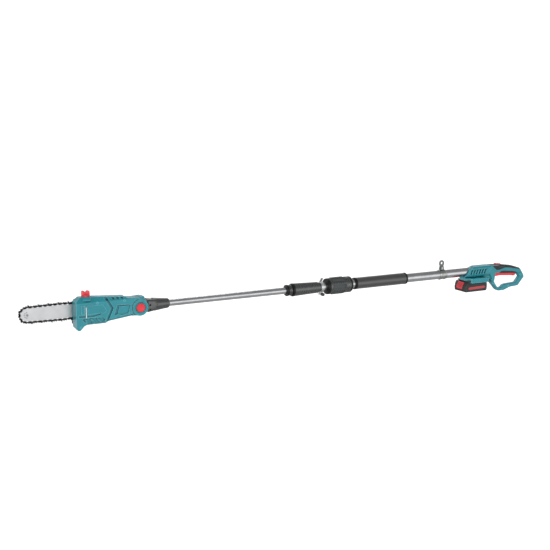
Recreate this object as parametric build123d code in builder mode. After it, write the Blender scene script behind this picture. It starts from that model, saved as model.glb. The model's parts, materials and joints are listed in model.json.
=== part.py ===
from build123d import *
import math
import os

# A cordless telescoping pole saw, in millimetres.
# Frame: the origin is on the pole axis, in the middle of the bare lower tube between the foam
# grip and the strap bracket. The saw head points to -X, the D-handle to +X, +Z is up, and the
# guide bar hangs on the +Y side of the head.

os.makedirs("parts", exist_ok=True)

# ---------------------------------------------------------------- driving dimensions
# fits
slide_gap = 0.1          # radial running gap of a tube or bush that slides
pin_gap = 0.05           # radial running gap round a hinge pin
seat_gap = 0.05          # gap between curved faces that are clamped together
free_gap = 0.5           # gap round a piece that moves freely
screw_gap = 0.1          # radial gap round a screw shank

# tubes
lower_tube_od = 34.0
lower_tube_wall = 1.5
middle_tube_od = 30.0
middle_tube_wall = 1.2
upper_tube_od = 24.0
upper_tube_wall = 1.5

# stations along the pole, from the origin forwards
bare_tube_length = 156.0
foam_length = 234.0
foam_thickness = 4.8
collar_gap = 17.0
collar_length = 105.0
collar_od = 60.0
tube_reveal = 14.0
clamp_band_width = 12.0
sleeve_length = 110.0
sleeve_front_od = 47.0
sleeve_rear_od = 40.0
nose_length = 31.0
nose_od = 40.0
upper_tube_reveal = 458.0
neck_length = 113.0
neck_front_height = 45.0
neck_rear_od = 33.0
neck_socket_depth = 60.0
upper_tube_overlap = 195.0
middle_tube_length = 640.0
collet_length = 50.0

# stations from the origin backwards
bracket_width = 34.0
bracket_band_thickness = 1.5
bracket_plate_width = 22.0
bracket_plate_top = 57.5
eyelet_height = 47.0
eyelet_radius = 5.5
bracket_bolt_radius = 2.5
bracket_bolt_height = 26.0
rear_tube_reveal = 122.0
barrel_length = 106.0
barrel_half_width = 24.0
barrel_height = 20.5
wall = 3.0

# handle
grip_half_width = 16.0
guard_half_width = 10.0
trigger_width = 12.0
trigger_pin_radius = 2.0
overmould_thickness = 1.6
overmould_stand_out = 0.6

# battery
battery_length = 122.0
battery_width = 75.0
battery_bottom = -75.0
battery_shelf = -34.0
battery_setback = 50.0
cell_radius = 9.1
cell_length = 65.0
cell_count = 5
latch_width = 46.0
latch_travel = 3.0

# head
pivot_radius = 28.5
pivot_half_width = 34.0
knuckle_half_width = 16.5
knuckle_radius = 27.0
pivot_bolt_radius = 6.0
button_radius = 14.0
button_stand_out = 2.5
sprocket_to_pivot = 126.0
front_to_pivot = 222.0
head_near = -32.0        # outer face of the housing on the near side
head_far = 13.0          # outer face of the gear side, where the bar is bolted
bar_height = 3.0         # bar axis above the pole axis
motor_axis_y = -8.0
motor_radius = 17.5
motor_length = 52.0
oil_cap_radius = 13.0
oil_cap_height = 19.0
oil_cap_to_front = 39.0

# bar and chain
bar_thickness = 4.2
bar_plane = 18.0         # Y of the middle of the bar
bar_reach = 170.0        # from the housing front to the nose of the bar
nose_radius = 21.0
belly_radius = 23.0
chain_pitch = 8.255      # from one rivet to the next, on average
rivet_lift = 4.4         # rivet line above the bar's rail
strap_half_height = 3.9
strap_thickness = 1.2
drive_link_thickness = 1.3
tang_depth = 6.0
cutter_height = 7.0      # top of a cutter above the rivet line
groove_depth = 7.0
sprocket_teeth = 7
nose_teeth = 9
cover_depth = 24.0

# bevel gears on the motor and the sprocket shaft
gear_module = 1.5
pinion_teeth = 10
gear_teeth = 30
gear_face = 7.0

# ---------------------------------------------------------------- stations
foam_rear = -bare_tube_length / 2
foam_front = foam_rear - foam_length
collar_rear = foam_front - collar_gap
collar_front = collar_rear - collar_length
clamp_rear = collar_front - tube_reveal
clamp_front = clamp_rear - clamp_band_width
sleeve_rear = clamp_front
sleeve_front = sleeve_rear - sleeve_length
nose_front = sleeve_front - nose_length
neck_rear = nose_front - upper_tube_reveal
pivot_x = neck_rear - neck_length
sprocket_x = pivot_x - sprocket_to_pivot
head_front = pivot_x - front_to_pivot
bar_nose = head_front - bar_reach
bracket_front = bare_tube_length / 2
bracket_x = bracket_front + bracket_width / 2
housing_front = bracket_front + bracket_width + rear_tube_reveal
handle_front = housing_front + barrel_length
battery_front = housing_front - battery_setback
battery_rear = battery_front + battery_length

lower_r = lower_tube_od / 2
lower_bore = lower_r - lower_tube_wall
middle_r = middle_tube_od / 2
middle_bore = middle_r - middle_tube_wall
upper_r = upper_tube_od / 2
upper_bore = upper_r - upper_tube_wall


# ---------------------------------------------------------------- shared shapes
def pipe(front, rear, outer, inner):
    """A round tube on the pole axis."""
    with BuildPart() as piece:
        with BuildSketch(Plane.YZ.offset(front)):
            Circle(outer)
            Circle(inner, mode=Mode.SUBTRACT)
        extrude(amount=rear - front)
    return piece


def turned(*profile):
    """A piece turned on the pole axis, from (x, radius) points."""
    with BuildPart() as piece:
        with BuildSketch(Plane.XZ):
            with BuildLine():
                Polyline(*profile, close=True)
            make_face()
        revolve(axis=Axis.X)
    return piece


def cross_rod(x, z, low, high, radius):
    """A round bar along Y, from Y = low to Y = high, to add to a block or cut from it."""
    with BuildPart() as rod:
        with BuildSketch(Plane.XZ.offset(-low)):
            with Locations((x, z)):
                Circle(radius)
        extrude(amount=low - high)
    return rod.part


def box(x, y, z):
    """A block between two corners, to add to a piece or cut from it; x, y and z are ranges."""
    with BuildPart() as block:
        with Locations((sum(x) / 2, sum(y) / 2, sum(z) / 2)):
            Box(x[1] - x[0], y[1] - y[0], z[1] - z[0])
    return block.part


def screws(places, head_at, tip_at, shank, head, head_depth):
    """Pan-head screws along Y with their heads on the -Y side, one solid each."""
    with BuildPart() as group:
        with BuildSketch(Plane.XZ.offset(-head_at)):
            with Locations(*places):
                Circle(head)
        extrude(amount=head_depth)
        with BuildSketch(Plane.XZ.offset(-head_at)):
            with Locations(*places):
                Circle(shank)
        extrude(amount=head_at - tip_at)
        with BuildSketch(Plane.XZ.offset(head_depth - head_at)):
            with Locations(*places):
                RegularPolygon(head / 2, 6)
        extrude(amount=-head_depth / 2, mode=Mode.SUBTRACT)
    return group


# ---------------------------------------------------------------- pole
lower_tube_front = collar_rear - collar_length / 2
lower_tube_rear = housing_front + barrel_length / 2
lower_tube = pipe(lower_tube_front, lower_tube_rear, lower_r, lower_bore)

foam_r = lower_r + foam_thickness
foam_edge = foam_thickness / 3
foam_grip = turned(
    (foam_front, lower_r + seat_gap), (foam_front, foam_r - foam_edge),
    (foam_front + foam_edge, foam_r), (foam_rear - foam_edge, foam_r),
    (foam_rear, foam_r - foam_edge), (foam_rear, lower_r + seat_gap),
)

middle_front = nose_front + nose_length / 4
middle_rear = middle_front + middle_tube_length
middle_tube = pipe(middle_front, middle_rear, middle_r, middle_bore)
upper_front = neck_rear - neck_socket_depth
upper_rear = middle_front + upper_tube_overlap
upper_tube = pipe(upper_front, upper_rear, upper_r, upper_bore)

# the sleeve that guides the upper tube: two lips at the mouth and a slit tail under the clamp
sleeve_bore = middle_r + seat_gap
mouth_bore = upper_r + slide_gap
lip_r = nose_od / 2
nose_r = lip_r - 1.4
tail_r = middle_r + 2.2
lip_length = nose_length / 3
ring_r = sleeve_front_od / 2 + 0.2
slit_width = 3.0
with BuildPart() as guide_sleeve:
    with BuildSketch(Plane.XZ):
        with BuildLine():
            Polyline(
                (nose_front, mouth_bore), (nose_front, lip_r - 1), (nose_front + 1, lip_r),
                (nose_front + lip_length, lip_r), (nose_front + lip_length, nose_r),
                (sleeve_front - lip_length, nose_r), (sleeve_front - lip_length, ring_r - 2),
                (sleeve_front - lip_length + 2, ring_r), (sleeve_front, ring_r),
                (sleeve_front, sleeve_front_od / 2), (sleeve_rear, sleeve_rear_od / 2),
                (sleeve_rear, tail_r), (clamp_rear, tail_r), (clamp_rear, sleeve_bore),
                (middle_front, sleeve_bore), (middle_front, mouth_bore), close=True,
            )
        make_face()
    revolve(axis=Axis.X)
    with BuildSketch(Plane.YZ.offset(sleeve_rear - 2 * clamp_band_width)):
        Rectangle(slit_width, 4 * tail_r)
    extrude(amount=2 * clamp_band_width + clamp_band_width, mode=Mode.SUBTRACT)

# the quick-release clamp on the sleeve's tail: band, bolt with its knob, cam lever
clamp_x = (clamp_front + clamp_rear) / 2
band_inner = tail_r + seat_gap
band_outer = band_inner + 1.8
ear_gap = 8.0
ear_thickness = 2.5
bolt_drop = band_outer + 7.0
clamp_bolt_r = 2.5
with BuildPart() as clamp_band:
    with BuildSketch(Plane.YZ.offset(clamp_front + seat_gap)):
        Circle(band_outer)
        with Locations((0, -(bolt_drop + 5) / 2)):
            Rectangle(ear_gap + 2 * ear_thickness, bolt_drop + 5)
        Circle(band_inner, mode=Mode.SUBTRACT)
        with Locations((0, -bolt_drop)):
            Rectangle(ear_gap, 2 * bolt_drop - band_inner, mode=Mode.SUBTRACT)
    extrude(amount=clamp_band_width - 2 * seat_gap)
    add(cross_rod(clamp_x, -bolt_drop, -band_outer, band_outer, clamp_bolt_r + screw_gap),
        mode=Mode.SUBTRACT)

ear_face = ear_gap / 2 + ear_thickness
cam_radius = 5.5
cam_axis_y = ear_face + seat_gap + cam_radius
knob_radius = 6.0
knob_length = 13.0
eye_half_width = 2.8
cheek_width = 2.6
with BuildPart() as clamp_bolt:
    add(cross_rod(clamp_x, -bolt_drop, -(ear_face + knob_length / 2), cam_axis_y, clamp_bolt_r))
    with BuildSketch(Plane.YZ.offset(clamp_x - eye_half_width)):
        with Locations((cam_axis_y, -bolt_drop)):
            Circle(clamp_bolt_r + 1.2)
    extrude(amount=2 * eye_half_width)
    with BuildSketch(Plane.YZ.offset(clamp_x - eye_half_width - cheek_width)):
        with Locations((cam_axis_y, -bolt_drop)):
            Circle(trigger_pin_radius)
    extrude(amount=2 * (eye_half_width + cheek_width))
with BuildPart() as clamp_knob:
    with BuildSketch(Plane.XZ.offset(ear_face + seat_gap)):
        with Locations((clamp_x, -bolt_drop)):
            Circle(knob_radius)
            with PolarLocations(knob_radius + 1.2, 8):
                Circle(2, mode=Mode.SUBTRACT)
    extrude(amount=knob_length)
    chamfer(clamp_knob.faces().sort_by(Axis.Y)[0].edges(), 0.6)
    add(cross_rod(clamp_x, -bolt_drop, -(ear_face + knob_length / 2 + 1), 0,
                  clamp_bolt_r + seat_gap), mode=Mode.SUBTRACT)

# the cam lever leans back towards the user and curls over the tube
lever_lean = 12.0
lever_thickness = 3.2
lever_width = 9.0
lever_plane = Plane(
    origin=(clamp_x, 0, -bolt_drop), x_dir=(0, 1, 0),
    z_dir=(math.cos(math.radians(lever_lean)), 0, -math.sin(math.radians(lever_lean))),
)
lever_side = band_outer + 5.0
lever_top = bolt_drop + sleeve_rear_od / 2 + 12.0
cheek_reach = eye_half_width + cheek_width
with BuildPart() as clamp_lever:
    with BuildSketch(lever_plane.offset(-lever_width / 2)):
        with BuildLine():
            FilletPolyline(
                (cam_axis_y, 0), (lever_side, 9), (lever_side, lever_top - 22),
                (lever_side - 9, lever_top - 8), (lever_side - 12, lever_top),
                (lever_side - 12 + lever_thickness, lever_top),
                (lever_side - 9 + lever_thickness, lever_top - 8 + lever_thickness / 2),
                (lever_side + lever_thickness, lever_top - 21),
                (lever_side + lever_thickness, 7), (cam_axis_y + lever_thickness, -2.6),
                radius=1.2, close=True,
            )
        make_face()
    extrude(amount=lever_width)
    with BuildSketch(Plane.YZ.offset(clamp_x - cheek_reach)):
        with Locations((cam_axis_y, -bolt_drop)):
            Circle(cam_radius)
    extrude(amount=2 * cheek_reach)
    with BuildSketch(Plane.YZ.offset(clamp_x - eye_half_width - 0.3)):
        with Locations((cam_axis_y - 3, -bolt_drop)):
            Rectangle(cam_radius + 12, 2 * cam_radius + 4)
    extrude(amount=2 * (eye_half_width + 0.3), mode=Mode.SUBTRACT)
    with BuildSketch(Plane.YZ.offset(clamp_x - cheek_reach - 4)):
        with Locations((cam_axis_y, -bolt_drop)):
            Circle(trigger_pin_radius + pin_gap)
    extrude(amount=2 * (cheek_reach + 4), mode=Mode.SUBTRACT)

# twist-lock collar: a collet fixed on the lower tube grips the middle tube when the ring turns
collet_r = lower_r + 4.0
collet_nose_r = middle_r + 3.0
collar_bore = collet_r + 0.3
collar_r = collar_od / 2
collar_chamfer = 5.0
collar_lip = 4.0
collet_front = collar_front + collar_lip + free_gap
collet_rear = collar_rear - 2.0
with BuildPart() as collet:
    with BuildSketch(Plane.XZ):
        with BuildLine():
            Polyline(
                (collet_front, middle_r + slide_gap), (collet_front, collet_nose_r),
                (collet_front + collet_length / 2, collet_r), (collet_rear, collet_r),
                (collet_rear, lower_r + seat_gap), (lower_tube_front - seat_gap, lower_r + seat_gap),
                (lower_tube_front - seat_gap, middle_r + slide_gap), close=True,
            )
        make_face()
    revolve(axis=Axis.X)
    for angle in (0, 60, 120):
        with BuildSketch(Plane.YZ.offset(collet_front)):
            Rectangle(2.0, 4 * collet_r, rotation=angle)
        extrude(amount=collet_length / 2, mode=Mode.SUBTRACT)

panel_count = 6
panel_depth = 1.8
panel_length = collar_length * 0.55
with BuildPart() as twist_collar:
    with BuildSketch(Plane.XZ):
        with BuildLine():
            Polyline(
                (collar_front, middle_r + free_gap), (collar_front, collar_r - collar_chamfer),
                (collar_front + collar_chamfer, collar_r), (collar_rear - collar_chamfer, collar_r),
                (collar_rear, collar_r - collar_chamfer), (collar_rear, lower_r + free_gap),
                (collet_rear + free_gap, lower_r + free_gap), (collet_rear + free_gap, collar_bore),
                (collet_front + collet_length / 2, collar_bore),
                (collet_front - free_gap / 2, collet_nose_r + 0.6),
                (collet_front - free_gap / 2, middle_r + free_gap), close=True,
            )
        make_face()
    revolve(axis=Axis.X)
    for step in range(panel_count):
        angle = 360 / panel_count * step
        out = Vector(0, math.cos(math.radians(angle)), math.sin(math.radians(angle)))
        face_plane = Plane(
            origin=Vector((collar_front + collar_rear) / 2, 0, 0) + out * collar_r,
            x_dir=(1, 0, 0), z_dir=out,
        )
        with BuildSketch(face_plane):
            RectangleRounded(panel_length, collar_r * 0.62, 4)
        extrude(amount=-panel_depth, mode=Mode.SUBTRACT)

# strap bracket: a steel strip bent round the tube, its two ends flat together as an eyelet plate
band_r = lower_r + seat_gap
strip_r = band_r + bracket_band_thickness
rib_r = strip_r + 1.3
rib_width = 4.0
plate_half = bracket_band_thickness
with BuildPart() as strap_bracket:
    with BuildSketch(Plane.YZ.offset(bracket_front)):
        Circle(strip_r)
    extrude(amount=bracket_width)
    for rib in (bracket_width * 0.18, bracket_width * 0.82):
        with BuildSketch(Plane.YZ.offset(bracket_front + rib - rib_width / 2)):
            Circle(rib_r)
        extrude(amount=rib_width)
    with BuildSketch(Plane.XZ.offset(plate_half)):
        with BuildLine():
            half = bracket_plate_width / 2
            waist = half - 2.4
            shoulder = (eyelet_height + bracket_bolt_height) / 2
            Polyline((bracket_x - half, 0), (bracket_x - half, bracket_bolt_height + 2),
                     (bracket_x - waist, shoulder), (bracket_x - half, eyelet_height - 3),
                     (bracket_x - half, bracket_plate_top - half))
            ThreePointArc((bracket_x - half, bracket_plate_top - half),
                          (bracket_x, bracket_plate_top),
                          (bracket_x + half, bracket_plate_top - half))
            Polyline((bracket_x + half, bracket_plate_top - half), (bracket_x + half, eyelet_height - 3),
                     (bracket_x + waist, shoulder), (bracket_x + half, bracket_bolt_height + 2),
                     (bracket_x + half, 0), (bracket_x - half, 0))
        make_face()
        with Locations((bracket_x, eyelet_height)):
            Circle(eyelet_radius, mode=Mode.SUBTRACT)
        with Locations((bracket_x, bracket_bolt_height)):
            Circle(bracket_bolt_radius + screw_gap, mode=Mode.SUBTRACT)
    extrude(amount=-2 * plate_half)
    with BuildSketch(Plane.YZ.offset(bracket_front)):
        Circle(band_r)
    extrude(amount=bracket_width, mode=Mode.SUBTRACT)

with BuildPart() as strap_bracket_bolt:
    add(cross_rod(bracket_x, bracket_bolt_height, -(plate_half + 5), plate_half + 5,
                  bracket_bolt_radius))
    with BuildSketch(Plane.XZ.offset(plate_half)):
        with Locations((bracket_x, bracket_bolt_height)):
            Circle(bracket_bolt_radius * 2)
    extrude(amount=3)
    with BuildSketch(Plane.XZ.offset(-plate_half)):
        with Locations((bracket_x, bracket_bolt_height)):
            RegularPolygon(bracket_bolt_radius * 2, 6)
    extrude(amount=-3.5)


# ---------------------------------------------------------------- rear housing and D-handle
def points(x, pairs):
    """Outline points given from station x."""
    return [(x + a, b) for a, b in pairs]


platform_half = battery_width / 2 + 1.0
platform_front = battery_front + 13.0
platform_rear = battery_rear - 4.0
deck_bottom = battery_shelf + 3.5          # underside of the deck, where the pack's flange slides
skirt_bottom = battery_shelf - 7.0
rail_lip_half = battery_width / 2 - 7.5    # the pack's neck is narrower than its flange
flange_half = battery_width / 2 - 2.5
lip_top = battery_shelf - 2.0

handle_outer = points(handle_front, [
    (-15, barrel_height), (45, barrel_height - 2.5), (105, 9), (146, -4), (165, -30), (171, -42),
    (152, -62), (138, -76.5), (100, -79), (66, -90), (40, -90), (27, -84), (8, -62), (-12, -41),
    (-15, -30),
])
handle_hole = points(handle_front, [
    (12, -30), (13, -13), (115, -19.5), (134, -27), (147, -39), (128, -62), (75, -65),
    (62, -69), (53, -77.5), (34, -76.5), (22, -60), (10, -40),
])
grip_block = points(handle_front, [
    (-15, barrel_height), (45, barrel_height - 2.5), (105, 9), (142, -3), (156, -20),
    (134, -27), (115, -19.5), (13, -13), (10, -34), (-15, -34),
])
grip_cavity = points(handle_front, [
    (14, barrel_height - 6), (45, barrel_height - 8), (104, 2.5), (128, -6), (122, -16.5),
    (16, -10),
])
overmould_outline = points(handle_front, [
    (-11, barrel_height + 0.5), (45, barrel_height - 2), (105, 9.5), (138, -1), (137, -6.5),
    (122, -4.5), (90, 3), (62, 6), (46, 0.5), (26, -1.5), (4, 3.5), (-8, 13),
])
overmould_core = points(handle_front, [
    (-20, barrel_height - overmould_thickness), (45, barrel_height - 2.5 - overmould_thickness),
    (104.5, 9 - overmould_thickness), (150, -5 - overmould_thickness), (150, -30), (-20, -30),
])
control_front = lower_tube_rear + wall
control_rear = handle_front - 4.0
lock_slot = (handle_front + 18, handle_front + 50)
lock_half = 7.0
trigger_web = 3.0
trigger_slot = (handle_front + 57, handle_front + 121)
trigger_pin_x = handle_front + 114
trigger_pin_z = -14.5
switch_x = handle_front + 84
switch_bottom = -6.5

with BuildPart() as grip_overmould:
    with BuildSketch(Plane.XZ.offset(grip_half_width + overmould_stand_out)):
        with BuildLine():
            FilletPolyline(*overmould_outline, radius=2.5, close=True)
        make_face()
    extrude(amount=-2 * (grip_half_width + overmould_stand_out))
    with BuildSketch(Plane.XZ.offset(grip_half_width - overmould_thickness)):
        with BuildLine():
            Polyline(*overmould_core, close=True)
        make_face()
    extrude(amount=-2 * (grip_half_width - overmould_thickness), mode=Mode.SUBTRACT)
    with BuildSketch(Plane.XY.offset(-10)):
        with Locations(((lock_slot[0] + lock_slot[1]) / 2, 0)):
            Rectangle(lock_slot[1] - lock_slot[0], 2 * (lock_half + free_gap))
    extrude(amount=50, mode=Mode.SUBTRACT)

vent_count = 6
vent_pitch = 13.5
vent_width = 4.0
housing_screw_places = points(handle_front, [
    (-92, -23), (-24, -30), (10, -54), (88, -73.5), (151, -32),
])
screw_shank = 1.5
screw_head = 3.4


def rear_half(side):
    """One moulded half of the rear housing; side is 1 for the near half and -1 for the far."""
    with BuildPart() as half:
        # barrel round the tube, with its slanted front
        with BuildSketch(Plane.XZ):
            with BuildLine():
                front = housing_front
                Polyline((front, barrel_height), (handle_front, barrel_height),
                         (handle_front, -36), (platform_front + 4, -36),
                         (platform_front, -16), (front - 26, -4), (front - 17, 12),
                         (front, barrel_height))
            make_face()
        extrude(amount=side * barrel_half_width)
        with BuildSketch(Plane.YZ.offset(platform_front - 10)):
            Polygon((-barrel_half_width, -40), (barrel_half_width, -40),
                    (barrel_half_width, barrel_height - 7), (barrel_half_width - 7, barrel_height),
                    (7 - barrel_half_width, barrel_height), (-barrel_half_width, barrel_height - 7),
                    align=None)
        extrude(amount=handle_front - platform_front + 20, mode=Mode.INTERSECT)
        # battery platform with its two skirts
        with BuildSketch(Plane.XZ):
            with BuildLine():
                Polyline((platform_front, -18), (platform_rear - 12, -18), (platform_rear, -26),
                         (platform_rear - 3, skirt_bottom), (platform_front + 12, skirt_bottom),
                         (platform_front, battery_shelf), (platform_front, -18))
            make_face()
        extrude(amount=side * platform_half)
        # D-handle: guard and thicker grip
        with BuildSketch(Plane.XZ):
            with BuildLine():
                FilletPolyline(*handle_outer, radius=5, close=True)
            make_face()
            with BuildLine():
                FilletPolyline(*handle_hole, radius=3, close=True)
            make_face(mode=Mode.SUBTRACT)
        extrude(amount=side * guard_half_width)
        with BuildSketch(Plane.XZ):
            with BuildLine():
                FilletPolyline(*grip_block, radius=2.5, close=True)
            make_face()
        extrude(amount=side * grip_half_width)
        # socket for the tube, control space behind it, grip cavity
        with BuildSketch(Plane.YZ.offset(housing_front - 60)):
            Circle(lower_r + seat_gap)
        extrude(amount=lower_tube_rear + seat_gap - housing_front + 60, mode=Mode.SUBTRACT)
        with BuildSketch(Plane.XZ):
            with BuildLine():
                Polyline((control_front, 16), (control_rear, 16), (control_rear, -20),
                         (control_front, -20), close=True)
            make_face()
        extrude(amount=side * (barrel_half_width - wall), mode=Mode.SUBTRACT)
        with BuildSketch(Plane.YZ.offset(lower_tube_rear)):
            Circle(6)
        extrude(amount=control_front - lower_tube_rear + 1, mode=Mode.SUBTRACT)
        with BuildSketch(Plane.XZ):
            with BuildLine():
                Polyline(*grip_cavity, close=True)
            make_face()
        extrude(amount=side * (grip_half_width - wall - overmould_thickness), mode=Mode.SUBTRACT)
        for x in (switch_x - 14, switch_x + 10):
            add(box((x, x + 4), tuple(sorted((0, -side * (grip_half_width - wall)))), (-15, 3)))
        add(box((switch_x - 15 - seat_gap, switch_x + 15 + seat_gap), (-6.5 - seat_gap, 6.5 + seat_gap),
                (switch_bottom + 1.5, switch_bottom + 12)), mode=Mode.SUBTRACT)
        with BuildSketch(Plane.XZ):
            with BuildLine():
                Polyline((trigger_slot[0], -4), (trigger_slot[1], -4), (trigger_slot[1], -30),
                         (trigger_slot[0], -30), close=True)
            make_face()
        extrude(amount=side * (trigger_web + free_gap), mode=Mode.SUBTRACT)
        # wire way from the control space into the grip
        with BuildSketch(Plane.XZ):
            with BuildLine():
                Polyline((handle_front - 6, 10), (handle_front + 16, 10), (handle_front + 16, 0),
                         (handle_front - 6, 0), close=True)
            make_face()
        extrude(amount=side * 6, mode=Mode.SUBTRACT)
        # lock-off button slot
        with BuildSketch(Plane.XZ):
            with BuildLine():
                Polyline((lock_slot[0], 5), (lock_slot[1], 5), (lock_slot[1], 30),
                         (lock_slot[0], 30), close=True)
            make_face()
        extrude(amount=side * (lock_half + free_gap), mode=Mode.SUBTRACT)
        # channel for the battery's flange and neck
        with BuildSketch(Plane.YZ.offset(platform_front - 20)):
            with Locations((0, (deck_bottom + lip_top) / 2)):
                Rectangle(2 * (flange_half + free_gap), deck_bottom - lip_top)
            with Locations((0, (lip_top + skirt_bottom) / 2 - 5)):
                Rectangle(2 * (rail_lip_half + free_gap), lip_top - skirt_bottom + 10)
        extrude(amount=battery_rear + free_gap - platform_front + 20, mode=Mode.SUBTRACT)
        # recess for the terminal block
        with BuildSketch(Plane.XY.offset(deck_bottom - 1)):
            with Locations((terminal_x, 0)):
                Rectangle(terminal_length + 2 * seat_gap, 2 * terminal_half + 2 * seat_gap)
        extrude(amount=terminal_height + 1 + seat_gap, mode=Mode.SUBTRACT)
        # slanted vent slots through the barrel wall
        for step in range(vent_count):
            x = lower_tube_rear - 68 + vent_pitch * step
            with BuildSketch(Plane.XZ.offset(side * (barrel_half_width + 1))):
                with BuildLine():
                    Polyline((x, -8), (x + vent_width, -8), (x + vent_width + 8, 9), (x + 8, 9),
                             close=True)
                make_face()
            extrude(amount=-side * 2.2, mode=Mode.SUBTRACT)
        # seam groove where the handle part meets the barrel
        with BuildSketch(Plane.XZ.offset(side * (barrel_half_width + 1))):
            with BuildLine():
                Polyline(*points(handle_front, [(-14, 22), (-31, -15), (-12, -38), (-10, -38),
                                                (-28.5, -15), (-12, 22)]), close=True)
            make_face()
        extrude(amount=-side * 2.4, mode=Mode.SUBTRACT)
        add(grip_overmould.part, mode=Mode.SUBTRACT)
        # screw holes: clearance through the near half with a sunk head, a pilot in the far half
        for x, z in housing_screw_places:
            add(cross_rod(x, z, -40, 40, screw_shank + screw_gap), mode=Mode.SUBTRACT)
        if side > 0:
            for x, z in housing_screw_places:
                add(cross_rod(x, z, -40, -guard_half_width + 3, screw_head + screw_gap),
                    mode=Mode.SUBTRACT)
        # trigger pin bore
        add(cross_rod(trigger_pin_x, trigger_pin_z, -9, 9, trigger_pin_radius + seat_gap),
            mode=Mode.SUBTRACT)
    return half


terminal_length = 26.0
terminal_half = 20.0
terminal_height = 6.0
terminal_x = battery_rear - 30.0
rear_housing_near = rear_half(1)
rear_housing_far = rear_half(-1)
rear_housing_screws = screws(housing_screw_places, -guard_half_width + 3, guard_half_width - 3,
                             screw_shank, screw_head, 2.4)

blade_count = 4
blade_pitch = 9.0
with BuildPart() as battery_terminals:
    with BuildSketch(Plane.XY.offset(deck_bottom)):
        with Locations((terminal_x, 0)):
            Rectangle(terminal_length, 2 * terminal_half)
    extrude(amount=terminal_height)
    with BuildSketch(Plane.XY.offset(deck_bottom)):
        with Locations((terminal_x, 0)):
            with GridLocations(0, blade_pitch, 1, blade_count):
                Rectangle(terminal_length * 0.7, 0.8)
    extrude(amount=-5.5)

board_thickness = 1.6
with BuildPart() as control_board:
    board_x = (control_front + control_rear) / 2
    board_length = control_rear - control_front - 2
    with BuildSketch(Plane.XY.offset(-20)):
        with Locations((board_x, 0)):
            Rectangle(board_length, 34)
    extrude(amount=board_thickness)
    with BuildSketch(Plane.XY.offset(-20 + board_thickness)):
        with Locations((board_x - 8, -9), (board_x - 8, 9)):
            Circle(5)
        with Locations((board_x + 9, 0)):
            Rectangle(12, 26)
    extrude(amount=12)

# trigger, its pin and spring, the switch, the lock-off button and its spring
trigger_outline = points(handle_front, [
    (14, -31), (21, -22), (40, -20), (80, -20.5), (121, -25), (126, -30), (121, -35),
    (100, -32), (45, -27.5), (24, -29),
])
with BuildPart() as trigger:
    with BuildSketch(Plane.XZ.offset(trigger_width / 2)):
        with BuildLine():
            FilletPolyline(*trigger_outline, radius=1.6, close=True)
        make_face()
    extrude(amount=-trigger_width)
    fillet(trigger.faces().filter_by(Axis.Y).edges(), 1.2)
    with BuildSketch(Plane.XZ.offset(trigger_web)):
        with BuildLine():
            Polyline(*points(handle_front, [(60, -22), (60, -9), (119, -9), (119, -26)]), close=True)
        make_face()
    extrude(amount=-2 * trigger_web)
    add(cross_rod(trigger_pin_x, trigger_pin_z, -9, 9, trigger_pin_radius + pin_gap),
        mode=Mode.SUBTRACT)
with BuildPart() as trigger_pin:
    add(cross_rod(trigger_pin_x, trigger_pin_z, -9, 9, trigger_pin_radius))

with BuildPart() as power_switch:
    with BuildSketch(Plane.XY.offset(switch_bottom + 1.5)):
        with Locations((switch_x, 0)):
            Rectangle(30, 13)
    extrude(amount=7.5)
    with BuildSketch(Plane.XY.offset(switch_bottom)):
        with Locations((switch_x - 10, 0)):
            Rectangle(4, 5)
    extrude(amount=1.5)
spring_wire = 0.6
with BuildPart() as trigger_spring:
    with BuildSketch(Plane.XY.offset(-9)):
        with Locations((handle_front + 92, 0)):
            Circle(2.4)
            Circle(2.4 - spring_wire, mode=Mode.SUBTRACT)
    extrude(amount=switch_bottom + 1.5 + 9)
lock_outline = points(handle_front, [
    (18.5, 8), (18.5, 16), (24, barrel_height + 1.8), (31, barrel_height + 1.4),
    (38, barrel_height - 0.6), (44, barrel_height + 0.4), (49.5, 16), (49.5, 8),
])
with BuildPart() as lock_off_button:
    with BuildSketch(Plane.XZ.offset(lock_half)):
        with BuildLine():
            FilletPolyline(*lock_outline, radius=1.2, close=True)
        make_face()
    extrude(amount=-2 * lock_half)
with BuildPart() as lock_off_spring:
    with BuildSketch(Plane.XY.offset(-10.85)):
        with Locations((handle_front + 34, 0)):
            Circle(3.5)
            Circle(3.5 - spring_wire, mode=Mode.SUBTRACT)
    extrude(amount=18.85)

# the lead in the pole: it coils between the control space and the upper tube
lead_coil_r = 9.0
with BuildPart() as coiled_lead:
    with BuildSketch(Plane.YZ.offset(upper_rear + 1)):
        Circle(lead_coil_r)
        Circle(lead_coil_r - 4, mode=Mode.SUBTRACT)
    extrude(amount=lower_tube_rear - upper_rear - 1)

# ---------------------------------------------------------------- battery
case_split = battery_bottom + 22.0
case_top = battery_shelf - 8.0
corner = 7.0
nose_slope = 8.0         # how far the front leans back above its bulge
nose_foot = 6.0          # how far it leans back below
nose_top = battery_shelf - 2.0
nose_bulge = battery_bottom + 17.0
nose_back = platform_front + 2.0
neck_start = platform_front + 7.0
latch_low = battery_bottom + 9.0
latch_high = nose_top - 2.0
latch_back = neck_start - latch_travel - 1.0


def battery_outline(inset):
    """Side view of the case, inset by the given amount, with the bulging front."""
    return [
        (battery_front + inset, nose_bulge), (battery_front + nose_foot + inset, battery_bottom + inset),
        (battery_rear - corner - inset, battery_bottom + inset),
        (battery_rear - inset, battery_bottom + corner + 4 + inset),
        (battery_rear - inset, case_top - corner - inset),
        (battery_rear - corner - inset, case_top - inset),
        (nose_back + 4 - inset, case_top - inset), (nose_back - inset, nose_top - inset),
        (battery_front + nose_slope + inset, nose_top - inset),
    ]


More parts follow.
